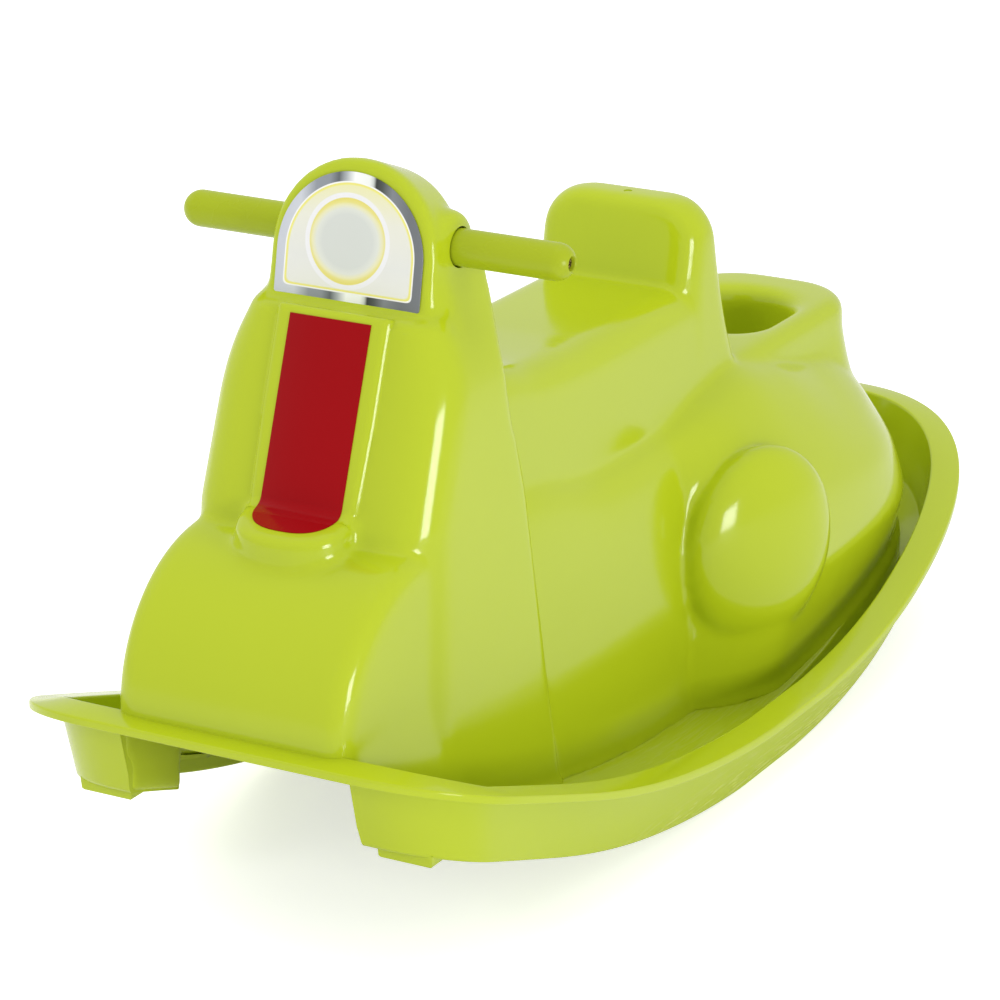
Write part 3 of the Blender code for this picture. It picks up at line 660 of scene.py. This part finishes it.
def body_ring(z, flank, bulge, rear, power):
    """Plan outline of the lower body: straight flanks, flared sides and a round back."""
    half = [(0.0, rear)]
    for turn in spread(pi / 2, 0.0, 40)[1:]:
        across = bulge * max(cos(turn), 0.0) ** power
        half.append((across, WIDEST_Y + (rear - WIDEST_Y) * sin(turn) ** power))
    half += [(bulge, y) for y in spread(WIDEST_Y, 76.0, 8)[1:]]
    for share in spread(1.0, 0.0, 26):
        swell = 1 - (1 - share) ** 1.9
        half.append((flank + (bulge - flank) * swell, FLANK_END_Y + 65.0 * share))
    near = -218.0 + (BODY_REAR - rear)
    for share in spread(1.0, 0.0, 24)[1:]:
        half.append((flank - 8.0 * (1 - share), near + (FLANK_END_Y - near) * share))
    half.append((0.0, near))
    return [(x, y, z) for x, y in half + [(-x, y) for x, y in reversed(half[1:-1])]]


def lower_body(inset):
    """The flared body; its shoulder rises and falls along the toy by `lift`."""
    lift = curve((-218, 26), (-163, 20), (-74, -1), (-6, -3), (63, 9), (104, 14), (150, 7), (220, -8),
                 (BODY_REAR, -13))
    flank = curve((22, 83), (94, 81), (125, 79), (160, 76), (185, 72), (200, 66), (208, 57))
    bulge = curve((22, 117), (94, 126), (125, 122), (160, 109), (185, 91), (200, 75), (208, 60))
    power = curve((22, 0.52), (94, 0.55), (125, 0.62), (160, 0.76), (190, 0.86), (208, 0.9))
    back = curve((22, 0), (94, 0), (125, 1), (160, 4), (185, 9), (200, 15), (208, 24))

    def outline(z, shrink):
        rear = BODY_REAR - back(z) - shrink
        return body_ring(z, flank(z) - shrink, bulge(z) - shrink, rear, power(z))

    rings = footed(lambda grow: outline(22.0, grow + inset))
    for z in spread(94.0, 208.0, 40):
        share = max(0.0, (z - 125.0) / 83.0)
        top = z - inset * (z > 150)
        rings.append([(x, y, top + lift(y) * share) for x, y, level in outline(z, inset)])
    return skin(rings)


def dome(side, inset):
    """The shallow dome on a flared side, turned a little to the front."""
    form = bmesh.new()
    place = Matrix.Translation(Vector((side * 105.0, 59.0, 123.0)) * MM)
    turn = Matrix.Rotation(-side * radians(21.0), 4, 'Z')
    size = Matrix.Diagonal((24.0 - inset, 61.0 - inset, 66.0 - inset, 1000.0)) * MM
    bmesh.ops.create_uvsphere(form, u_segments=72, v_segments=48, radius=1.0, matrix=place @ turn @ size)
    return form


print("the body's rear is at y", BODY_REAR, "mm")

# %% [markdown]
# ## Rib and shelf for the red foil
# The foil lies on a raised rib, turns through a small radius and ends on a little shelf. Rib, shelf
# and foil all follow one path in the toy's middle plane, so the foil can't miss its seat.

# %% Rib and shelf
STRIPE_TOP = 350.0
STRIPE_BEND = 246.0
STRIPE_HALF_WIDTH = 26.7
RIB = 3.2
TONGUE = 24.0
SHELF_SLOPE = 0.22
SHELF_MARGIN = 9.5


def stripe_plane(z, height):
    """Where a surface at a height above the shield's leaning face lies."""
    return shield_plane(z) - height * sqrt(1 + SHIELD_LEAN ** 2)


def stripe_path():
    """Places (y, z) under the red foil: down the rib, through a bend, out over the shelf."""
    top = Vector((stripe_plane(STRIPE_TOP, RIB), STRIPE_TOP))
    bend = Vector((stripe_plane(STRIPE_BEND, RIB), STRIPE_BEND))
    down = (bend - top).normalized()
    out = Vector((-1.0, -SHELF_SLOPE)).normalized()
    setback = 9.0 * tan(acos(down.dot(out)) / 2)
    path = [top + (bend - down * setback - top) * share for share in spread(0.0, 1.0, 16)]
    start, end = bend - down * setback, bend + out * setback
    path += [start * (1 - t) ** 2 + bend * 2 * t * (1 - t) + end * t * t for t in spread(0.0, 1.0, 14)[1:]]
    for share in spread(0.0, 1.0, 40)[1:]:
        path.append(end + out * (TONGUE - setback) * sin(share * pi / 2))
    return path, bend, out


def surface_normal(path, index):
    """The direction straight out of the surface that a path runs along."""
    ahead = (path[min(index + 1, len(path) - 1)] - path[max(index - 1, 0)]).normalized()
    return Vector((ahead.y, -ahead.x))


def stood(place, normal, section):
    """A section of (across, height) points, put upright at a place of the path."""
    return [(x, place.x + normal.x * height, place.y + normal.y * height) for x, height in section]


def stripe_rib():
    """The raised rib under the red foil: its top end is rounded, its foot runs into the shelf."""
    path = stripe_path()[0][:29]
    down = (path[1] - path[0]).normalized()
    half = [(37.9, -11.0), (37.9, -6.4)] + arc(31.7, -6.2, 6.2, 0, 90, 14)
    section = half + [(-x, height) for x, height in reversed(half)]
    rings = []
    for back, drop in ((4.9, 3.2), (4.8, 2.0), (4.3, 1.0), (3.4, 0.3), (2.4, 0.0)):
        place, normal = path[0] - down * back, surface_normal(path, 0)
        lowered = [(x * (1 - drop / 50.0), min(height, -drop)) for x, height in section]
        rings.append(stood(place, normal, lowered))
    for index, place in enumerate(path):
        normal = surface_normal(path, index)
        narrow = 1.0 - 0.06 * min(max((index - 8) / 10.0, 0.0), 1.0)
        rings.append(stood(place, normal, [(x * narrow, height) for x, height in section]))
    return skin(rings)


def tongue_boss():
    """The shelf under the leg shield: in plan, straight sides that round off."""
    base = stripe_plane(STRIPE_BEND, RIB)
    ring = []
    for turn in spread(0.0, pi, 33):
        across = copysign(abs(cos(turn)) ** 0.8, cos(turn))
        reach = (TONGUE + SHELF_MARGIN) * sin(turn) ** 0.8
        ring.append(((STRIPE_HALF_WIDTH + SHELF_MARGIN) * across, base - reach))
    back = ring[0][1] + 20
    ring += [(ring[-1][0], back), (ring[0][0], back)]
    rings = []
    for drop in (60.0, 9.0, 6.0, 4.0, 2.5, 1.2, 0.4, 0.0):
        grow = 1.06 if drop > 50 else 1.0 - 0.12 * rounding(drop, 6.0) / 6.0
        rings.append([(x * grow, y, STRIPE_BEND + SHELF_SLOPE * (y - base) - drop) for x, y in ring])
    return skin(rings)


print("the red foil's path has", len(stripe_path()[0]), "places")

# %% [markdown]
# ## Joining, hollowing and softening
# The forms are joined with the Manifold boolean, then the same forms drawn smaller are taken out
# from below, so that the moulding is hollow. A voxel remesh gives even faces and a few smoothing
# steps turn every sharp meeting line into the small fillet that a mould leaves. The bar's hole, the
# rib and two round gate marks come last, because their edges stay crisp.

# %% Upper moulding
WALL = 4.6
VOXEL = 2.0
SOFTENING = 13
GATE_MARKS = (-250.0, 77.0)

upper = piece("upper", lower_body(0.0))
combine(upper, [fender_base(0.0), fender_drum(0.0), column_form(0.0), head_form(0.0), ear_knobs(),
                tongue_boss(), seat_form(0.0, 148.0), backrest_form(0.0, 150.0), tub_form(0.0, 118.0),
                dome(-1, 0.0), dome(1, 0.0)], 'UNION')
combine(upper, [tub_cavity(0.0), ear_recess(-1), ear_recess(1)], 'DIFFERENCE')
hollow = piece("hollow", lower_body(WALL))
combine(hollow, [fender_base(WALL), fender_drum(WALL), column_form(WALL), head_form(WALL),
                 seat_form(WALL, 138.0), backrest_form(WALL, 150.0), tub_form(WALL, 108.0),
                 dome(-1, WALL), dome(1, WALL)], 'UNION')
combine(hollow, [tub_cavity(WALL)], 'DIFFERENCE')
ground = []
for y in spread(-460.0, 460.0, 90):
    top = rise(y) + FLOOR_HEIGHT - 2.2 - 18.0 * min(max((y - 110.0) / 80.0, 0.0), 1.0)
    ground.append([(300.0, y, top), (300.0, y, -200.0), (-300.0, y, -200.0), (-300.0, y, top)])
under_flange = slab([(z, 95.0, GAP_FRONT, -399.0) for z in GAP_HEIGHTS])
combine(upper, [taken(hollow), skin(ground), leg_gap(), under_flange], 'DIFFERENCE')
combine(upper, [leg_side(-1), leg_side(1)], 'UNION')
print("upper forms joined:", len(upper.data.polygons), "faces")

remesh = upper.modifiers.new("even faces", 'REMESH')
remesh.mode = 'VOXEL'
remesh.voxel_size = VOXEL * MM
settle(upper)
soft = bmesh.new()
soft.from_mesh(upper.data)
for turn in range(SOFTENING):
    bmesh.ops.smooth_vert(soft, verts=soft.verts, factor=0.5,
                          use_axis_x=True, use_axis_y=True, use_axis_z=True)
soft.to_mesh(upper.data)
soft.free()
combine(upper, [bar_hole(12.0, 80.0)], 'DIFFERENCE')
combine(upper, [stripe_rib()], 'UNION')
for y in GATE_MARKS:
    near = [vert.co.z for vert in upper.data.vertices
            if (vert.co - Vector((0.0, y * MM, vert.co.z))).length < 2.5 * MM]
    middle = Vector((0.0, y * MM, max(near) + 1.45 * MM))
    mark = bmesh.new()
    bmesh.ops.create_cone(mark, cap_ends=True, segments=40, radius1=2.7 * MM, radius2=3.1 * MM,
                          depth=4.0 * MM, matrix=Matrix.Translation(middle))
    combine(upper, [mark], 'DIFFERENCE')
soften_shading(upper, 65)
print("upper softened:", len(upper.data.polygons), "faces")

# %% [markdown]
# ## The open underside
# The real moulding has one skin: under the body there is no floor. The body's own inner form, drawn a
# little smaller than the hollow, cuts the tray's floor away there.

# %% Open the floor under the hollow
opening = piece("opening", lower_body(WALL + 1.0))
combine(opening, [fender_base(WALL + 1.0), column_form(WALL + 1.0)], 'UNION')
combine(tray, [taken(opening)], 'DIFFERENCE')
soften_shading(tray, 40)
print("tray opened:", len(tray.data.polygons), "faces")

# %% [markdown]
# ## Sharing the dense mesh out
# The fillets need one even, dense mesh. To keep each piece light it is cut into a few parts along its
# length. Shading would show the cuts, so each part takes over the corner normals of the whole mesh.

# %% Share the dense mesh out
MOST_FACES = 85000


def share_out(whole):
    """Split a dense mesh across the toy's length; every piece keeps the shading of the whole."""
    mesh = whole.data
    shading = [corner.vector.copy() for corner in mesh.corner_normals]
    starts = [face.loop_start for face in mesh.polygons]
    places = [face.center.y for face in mesh.polygons]
    count = len(places) // MOST_FACES + 1
    ordered = sorted(places)
    borders = [ordered[len(ordered) * index // count] for index in range(count)] + [1.0]
    parts = []
    for number, (low, high) in enumerate(zip(borders, borders[1:])):
        form = bmesh.new()
        form.from_mesh(mesh)
        source = form.faces.layers.int.new("source")
        away = []
        for face in form.faces:
            face[source] = face.index
            if not low <= places[face.index] < high:
                away.append(face)
        bmesh.ops.delete(form, geom=away, context='FACES')
        part = piece("moulding_" + str(number + 1), form)
        rows = part.data.attributes["source"].data
        normals = []
        for face in part.data.polygons:
            start = starts[rows[face.index].value]
            normals += shading[start:start + face.loop_total]
        part.data.normals_split_custom_set(normals)
        parts.append(part)
    bpy.data.objects.remove(whole, do_unlink=True)
    return parts


mouldings = share_out(upper)
print("moulding shared out:", [len(part.data.polygons) for part in mouldings])

# %% [markdown]
# ## Moulded plastics
# Coloured polypropylene from a polished mould has a soft shine, a surface that waves a little and a
# colour that varies by a hair. Three noises do that: 170 mm patches for the colour, 30 mm patches for
# the haze, 6 mm waves for the bump. Where the runners rub on the floor the plastic is scratched along
# the toy, paler and rougher.

# %% Materials


def linear(code):
    """A colour's sRGB hex value as linear light."""
    parts = []
    for index in (0, 2, 4):
        value = int(code[index:index + 2], 16) / 255
        parts.append(value / 12.92 if value <= 0.04045 else ((value + 0.055) / 1.055) ** 2.4)
    return (*parts, 1.0)


def new_material(name):
    material = bpy.data.materials.new(name)
    material.use_nodes = True
    return material, material.node_tree.nodes["Principled BSDF"]


def feed(material, node, **inputs):
    """Give inputs constants or links; an input is named by its socket, or by i and its number."""
    for key, value in inputs.items():
        numbered = key[0] == "i" and key[1:].isdigit()
        socket = node.inputs[int(key[1:]) if numbered else key.replace("_", " ")]
        if isinstance(value, bpy.types.NodeSocket):
            material.node_tree.links.new(value, socket)
        else:
            socket.default_value = value


def add(material, kind, settings=None, **inputs):
    """Add a node with its properties and its inputs."""
    made = material.node_tree.nodes.new(kind)
    for key, value in (settings or {}).items():
        setattr(made, key, value)
    feed(material, made, **inputs)
    return made


def noise(material, place, scale, detail):
    return add(material, "ShaderNodeTexNoise", Vector=place, Scale=scale, Detail=detail).outputs["Fac"]


def math_node(material, operation, *values):
    inputs = {"i" + str(index): value for index, value in enumerate(values)}
    return add(material, "ShaderNodeMath", {"operation": operation}, **inputs).outputs[0]


def mixed(material, factor, first, second):
    return add(material, "ShaderNodeMix", {"data_type": 'RGBA'}, i0=factor, i6=first, i7=second).outputs[2]


def mapped(material, value, settings=None, **limits):
    return add(material, "ShaderNodeMapRange", settings, Value=value, **limits).outputs["Result"]


def moulded(name, colour, deeper, roughness=0.12, sheen=0.45, worn_below=0.0):
    """A plastic with cloudy colour and haze; below a height in metres it can be scratched."""
    material, shader = new_material(name)
    place = add(material, "ShaderNodeTexCoord").outputs["Object"]
    shade = mixed(material, noise(material, place, 6.0, 3.0), linear(deeper), linear(colour))
    peel = noise(material, place, 160.0, 2.0)
    bump = add(material, "ShaderNodeBump", Strength=0.04, Distance=0.0006, Height=peel)
    rough = mapped(material, noise(material, place, 35.0, 4.0), To_Min=roughness * 0.8,
                   To_Max=roughness * 1.4)
    if worn_below:
        height = add(material, "ShaderNodeSeparateXYZ", Vector=place).outputs["Z"]
        low = mapped(material, height, From_Min=worn_below, From_Max=0.0)
        drawn = add(material, "ShaderNodeVectorMath", {"operation": 'MULTIPLY'}, i0=place,
                    i1=(1.0, 0.06, 1.0)).outputs["Vector"]
        rub = noise(material, drawn, 700.0, 5.0)
        wear = math_node(material, 'MULTIPLY', low, mapped(material, rub, From_Min=0.48, From_Max=0.66))
        rough = math_node(material, 'MULTIPLY_ADD', wear, 0.35, rough)
        shade = mixed(material, wear, shade, linear("C3CB62"))
    feed(material, shader, Base_Color=shade, Roughness=rough, Normal=bump.outputs["Normal"], IOR=1.5,
         Specular_IOR_Level=sheen)
    return material


shell_green = moulded("glossy_lime_polypropylene", "B3C31E", "AFBF1A")
runner_green = moulded("lime_polypropylene_rubbed_runners", "B3C31E", "AFBF1A", worn_below=0.03)
grip_green = moulded("lime_grip_polypropylene", "A6B51E", "A0AF1A", 0.25, 0.25)
foil_red = moulded("glossy_red_foil", "9B0B12", "930A10", 0.15, 0.08)
print("plastics:", shell_green.name, runner_green.name, grip_green.name)

# %% [markdown]
# ## The lamp's print
# The foil shows a headlamp: a chrome frame, a white and a yellow line, a pale lens and a round
# reflector. Two distances draw it: `inside` is how far a point lies within the D, `away` how far it
# lies from the reflector's middle. Each step of those distances changes the colour.

# %% Lamp print
PRINT_UNIT = 100.0
LAMP_RADIUS = 48.0
LAMP_HEIGHT = 26.5
REFLECTOR_X = -2.0
REFLECTOR_UP = 34.6


def ramp(material, factor, stops):
    """A colour band: stops are (place from 0 to 1, sRGB hex)."""
    made = add(material, "ShaderNodeValToRGB", i0=factor)
    band = made.color_ramp.elements
    while len(band) < len(stops):
        band.new(0.5)
    for element, (place, code) in zip(band, stops):
        element.position = place
    for element, (place, code) in zip(band, stops):
        element.color = linear(code)
    return made.outputs["Color"]


def printed_lamp(name):
    """The headlamp's drawing; its places are millimetres, across and up from the straight edge."""
    material, shader = new_material(name)

    def calc(operation, *values):
        return math_node(material, operation, *values)

    def length(across, upward):
        return calc('SQRT', calc('ADD', calc('POWER', across, 2.0), calc('POWER', upward, 2.0)))

    def change(value, low, high, before, after):
        """One colour before a distance and another after it, with a smooth passage between."""
        passage = mapped(material, value, {"interpolation_type": 'SMOOTHSTEP'}, From_Min=low, From_Max=high)
        return mixed(material, passage, before, after)

    uv = add(material, "ShaderNodeUVMap", {"uv_map": "print"}).outputs["UV"]
    parts = add(material, "ShaderNodeSeparateXYZ", Vector=uv)
    x = calc('MULTIPLY', parts.outputs["X"], PRINT_UNIT)
    up = calc('MULTIPLY', parts.outputs["Y"], PRINT_UNIT)
    reach = length(x, calc('MAXIMUM', calc('SUBTRACT', up, LAMP_HEIGHT), 0.0))
    inside = calc('SMOOTH_MIN', calc('SUBTRACT', LAMP_RADIUS, reach), calc('MULTIPLY', up, 1.12), 6.0)
    high = calc('SUBTRACT', up, REFLECTOR_UP)
    away = length(calc('SUBTRACT', x, REFLECTOR_X), high)
    across = calc('DIVIDE', calc('ADD', x, LAMP_RADIUS), 2 * LAMP_RADIUS)
    chrome = ramp(material, across, [
        (0.0, "C4C8D0"), (0.14, "C9CDD4"), (0.24, "8E949C"), (0.33, "8A9097"), (0.39, "5C6266"),
        (0.44, "A9AFB2"), (0.50, "F4F6F2"), (0.60, "EDF0EA"), (0.625, "C9CEC8"), (0.645, "2E332E"),
        (0.69, "4A504C"), (0.76, "7E8388"), (0.88, "6C7074"), (1.0, "73777A")])
    panel = ramp(material, calc('DIVIDE', up, 76.0), [
        (0.0, "E6E6DC"), (0.3, "DFE0DA"), (0.62, "E3E3D4"), (0.86, "E6E4B4"), (1.0, "E9E6A4")])
    stretched = calc('ADD', away, calc('MULTIPLY', 0.0048, calc('POWER', high, 2.0)))
    disc = ramp(material, calc('DIVIDE', stretched, 30.0), [
        (0.0, "CFD3CC"), (0.55, "D0D4CD"), (0.68, "DADDD2"), (0.76, "E3E1B8"), (0.83, "E2DA84"),
        (0.92, "DFD468")])
    ring = change(away, 24.6, 25.2, disc, linear("E9E9EA"))
    panel = change(away, 27.4, 28.2, ring, panel)
    line = change(inside, 7.0, 8.2, linear("E8E27A"), panel)
    line = change(inside, 6.1, 6.5, linear("F1F1EE"), line)
    feed(material, shader, Base_Color=change(inside, 5.3, 5.6, chrome, line), Roughness=0.22)
    return material


lamp_print = printed_lamp("printed_lamp_foil")
steel = moulded("yellow_zinc_plated_steel", "A08A50", "8A7040", 0.35)
feed(steel, steel.node_tree.nodes["Principled BSDF"], Metallic=1.0)
rod_white = moulded("white_rod_polypropylene", "E4E4DE", "DDDDD6", 0.4)
print("lamp print:", lamp_print.name)

# %% [markdown]
# ## Handlebar
# One rod passes through the head. A sleeve with a round tip covers each end, and a screw in the
# tip's recess holds it. They are turned: half a section, spun once around the bar's own axis.

# %% Turned pieces
GRIP_TIP = 128.7


def lathe(profile, segments=72):
    """Spin a closed section of (place along the bar, radius) around the bar's axis."""
    form = bmesh.new()
    loop = [form.verts.new(Vector((x, BAR_Y, BAR_Z + radius)) * MM) for x, radius in profile]
    edges = [form.edges.new(pair) for pair in zip(loop, loop[1:] + loop[:1])]
    bmesh.ops.spin(form, geom=loop + edges, cent=Vector((0.0, BAR_Y, BAR_Z)) * MM, axis=(1, 0, 0),
                   angle=2 * pi, steps=segments, use_merge=True)
    bmesh.ops.remove_doubles(form, verts=form.verts, dist=0.000002)
    bmesh.ops.dissolve_degenerate(form, edges=form.edges, dist=0.000001)
    bmesh.ops.recalc_face_normals(form, faces=form.faces)
    return form


def grip_section(side):
    """Half a sleeve: a thin wall along the rod, a round tip and the screw's recess in it."""
    tip = GRIP_TIP
    rows = [(41.2, 8.2), (40.2, 9.0), (40.2, 10.4), (40.8, 11.0), (60.0, 10.95), (100.0, 10.95),
            (tip - 11.0, 11.0)]
    rows += arc(tip - 11.0, 0.0, 11.0, 88, 27, 16)
    rows += [(tip - 1.5, 4.3), (tip - 2.2, 4.0), (tip - 5.2, 3.9), (tip - 5.6, 3.6), (tip - 5.6, 2.2),
             (tip - 13.7, 2.2), (tip - 13.7, 8.2)]
    return [(side * x, radius) for x, radius in rows]


def screw_section(side):
    """Half a screw with a low, round head."""
    seat = GRIP_TIP - 5.3
    rows = [(seat - 22.0, 0.0), (seat - 20.0, 1.6), (seat - 0.2, 1.9), (seat, 3.2), (seat + 0.6, 3.55),
            (seat + 1.5, 3.35), (seat + 2.3, 2.4), (seat + 2.6, 1.2), (seat + 2.6, 0.0)]
    return [(side * x, radius) for x, radius in rows]


def cross_slot(side, turn):
    """One bar of the cross in a screw's head."""
    form = bmesh.new()
    bmesh.ops.create_cube(form, size=1.0)
    bmesh.ops.scale(form, verts=form.verts, vec=Vector((3.2, 4.4, 0.95)) * MM)
    bmesh.ops.rotate(form, verts=form.verts, cent=(0, 0, 0), matrix=Matrix.Rotation(turn, 3, 'X'))
    bmesh.ops.translate(form, verts=form.verts, vec=Vector((side * 126.3, BAR_Y, BAR_Z)) * MM)
    return form


for side, hand in ((1, "left"), (-1, "right")):
    sleeve = piece("sleeve_" + hand, lathe(grip_section(side)), grip_green)
    soften_shading(sleeve, 50)
    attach(sleeve, "root")
    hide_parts("grip_" + hand)
    screw = piece("screw_" + hand, lathe(screw_section(side), 40), steel)
    combine(screw, [cross_slot(side, 0.4), cross_slot(side, 0.4 + pi / 2)], 'DIFFERENCE')
    soften_shading(screw, 30)
    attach(screw, "root")
    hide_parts("end_screw_" + hand)

rod_rows = [(-114.7, 2.2), (-114.7, 7.2), (-114.0, 7.9), (114.0, 7.9), (114.7, 7.2), (114.7, 2.2)]
rod = piece("rod", lathe(rod_rows), rod_white)
soften_shading(rod, 30)
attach(rod, "root")
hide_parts("handlebar_core")
print("turned pieces:", 2 * GRIP_TIP, "mm from tip to tip")

# %% [markdown]
# ## Lamp foil
# The lamp foil lies flat on the head's face and stands 0.6 mm proud of it. Its print needs places in
# the foil's own plane, so every point gets a UV: across, and up from the straight edge, where one
# unit of the UV is `PRINT_UNIT` millimetres.

# %% Lamp foil
SLANT = atan(HEAD_LEAN)
FOIL_FOOT_Z = 355.4
FOIL_FOOT_Y = lamp_plane(FOIL_FOOT_Z)


def lamp_foil():
    """The D of the lamp foil, with its lower corners rounded by 1.5 mm."""
    rings = []
    for lift, shrink in ((0.0, 0.0), (0.5, 0.0), (0.62, 0.12)):
        radius = LAMP_RADIUS - shrink
        outline = arc(0, LAMP_HEIGHT, radius, 0, 180, 120)
        outline += [(-radius + x, shrink + 1.5 - y) for x, y in arc(1.5, 0.0, 1.5, 180, 90, 6)]
        outline += [(radius - x, shrink + 1.5 - y) for x, y in reversed(arc(1.5, 0.0, 1.5, 180, 90, 6))]
        rings.append([(x, FOIL_FOOT_Y + up * sin(SLANT) - lift * cos(SLANT),
                       FOIL_FOOT_Z + up * cos(SLANT) + lift * sin(SLANT)) for x, up in outline])
    form = skin(rings)
    print_map = form.loops.layers.uv.new("print")
    for face in form.faces:
        for corner in face.loops:
            point = corner.vert.co / MM
            up = (point.y - FOIL_FOOT_Y) * sin(SLANT) + (point.z - FOIL_FOOT_Z) * cos(SLANT)
            corner[print_map].uv = (point.x / PRINT_UNIT, up / PRINT_UNIT)
    return form


lamp = piece("lamp_foil", lamp_foil(), lamp_print)
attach(lamp, "root")
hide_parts("lamp_label")
print("lamp foil:", len(lamp.data.polygons), "faces")

# %% [markdown]
# ## Red foil
# A row of thin sections follows the rib's path, and over the shelf their width closes to a rounded
# tongue. The foil's upper edges are drawn in by a tenth of a millimetre and catch the light.

# %% Red foil


def stripe_foil():
    path, bend, out = stripe_path()
    rings = []
    for index, point in enumerate(path):
        normal = surface_normal(path, index)
        reach = max((point - bend).dot(out), 0.0) / TONGUE if index > 16 else 0.0
        width = STRIPE_HALF_WIDTH * max(1.0 - min(reach, 1.0) ** 2.5, 0.0) ** 0.4
        ring = []
        for x, lift in ((-width, 0.05), (width, 0.05), (width, 0.5),
                        (width - 0.1, 0.58), (-width + 0.1, 0.58), (-width, 0.5)):
            place = point + normal * lift
            ring.append((x, place.x, place.y))
        rings.append(ring)
    return skin(rings)


stripe = piece("stripe_foil", stripe_foil(), foil_red)
soften_shading(stripe, 40)
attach(stripe, "root")
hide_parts("stripe_label")

for made in [tray] + mouldings:
    made.data.materials.clear()
    made.data.materials.append(runner_green if made == tray else shell_green)
    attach(made, "root")
    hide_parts("body_shell")
print("red foil:", len(stripe.data.polygons), "faces")

# %% [markdown]
# ## Stage and light
# The photograph shows white and soft light from all sides. The white world gives that light, broad
# lamps shape it, and the lamp at the picture's right shows in the glossy plastic as narrow
# highlights. The floor glows a little, so it stays white while it still takes a soft shadow.

# %% Stage
WHITE = (1.0, 1.0, 1.0, 1.0)

floor_form = bmesh.new()
bmesh.ops.create_grid(floor_form, x_segments=1, y_segments=1, size=30.0)
floor_material, floor_shader = new_material("studio_paper")
seen = add(floor_material, "ShaderNodeLightPath").outputs["Is Camera Ray"]
glow = math_node(floor_material, 'MULTIPLY_ADD', seen, 0.5, 0.1)
feed(floor_material, floor_shader, Base_Color=(0.9, 0.9, 0.9, 1.0), Roughness=0.9,
     Emission_Color=WHITE, Emission_Strength=glow)
floor = piece("floor", floor_form, floor_material)

world = bpy.data.worlds.new("studio")
bpy.context.scene.world = world
world.use_nodes = True
feed(world, world.node_tree.nodes["Background"], Color=WHITE, Strength=0.75)


def soft_box(name, place, target, size, power, mirrored=False):
    """A broad lamp aimed at a target; only a mirrored one shows as a highlight."""
    data = bpy.data.lights.new(name, 'AREA')
    data.shape = 'RECTANGLE'
    data.size, data.size_y = size
    data.energy = power
    light = placed(name, data)
    light.location = place
    light.rotation_euler = (Vector(target) - Vector(place)).to_track_quat('-Z', 'Y').to_euler()
    light.visible_glossy = mirrored


centre = (0.0, -0.05, 0.2)
soft_box("key", (-0.45, -2.55, 1.75), centre, (0.5, 0.5), 8.0)
soft_box("top", (0.2, 0.3, 2.4), centre, (1.6, 1.6), 13.0)
soft_box("left", (-2.3, -0.4, 1.7), centre, (1.2, 1.2), 18.0)
soft_box("right", (2.67, -1.18, 0.56), centre, (0.85, 0.75), 24.0, True)

print("lamps:", len(bpy.data.lights))

# %% [markdown]
# ## Camera
# A long lens from 2.7 m, turned 28.9 degrees to the side and 19.2 degrees down. The values were found
# from pairs of points that mirror each other on the toy.

# %% Camera
FOCAL_PIXELS = 4282.3577
PICTURE_PIXELS = 1000
CAMERA_PLACE = (1.206043, -2.277465, 1.049581)
CAMERA_DOWN = 0.3348634
CAMERA_ASIDE = 0.5042482

camera_data = bpy.data.cameras.new("camera")
camera = placed("camera", camera_data)
camera_data.sensor_width = 36.0
camera_data.lens = FOCAL_PIXELS / PICTURE_PIXELS * 36
camera_data.clip_end = 100.0
camera.location = CAMERA_PLACE
camera.rotation_euler = (pi / 2 - CAMERA_DOWN, 0.0, CAMERA_ASIDE)
bpy.context.scene.camera = camera
bpy.context.scene.view_settings.view_transform = 'Standard'

print("camera lens:", round(camera_data.lens, 1), "mm")
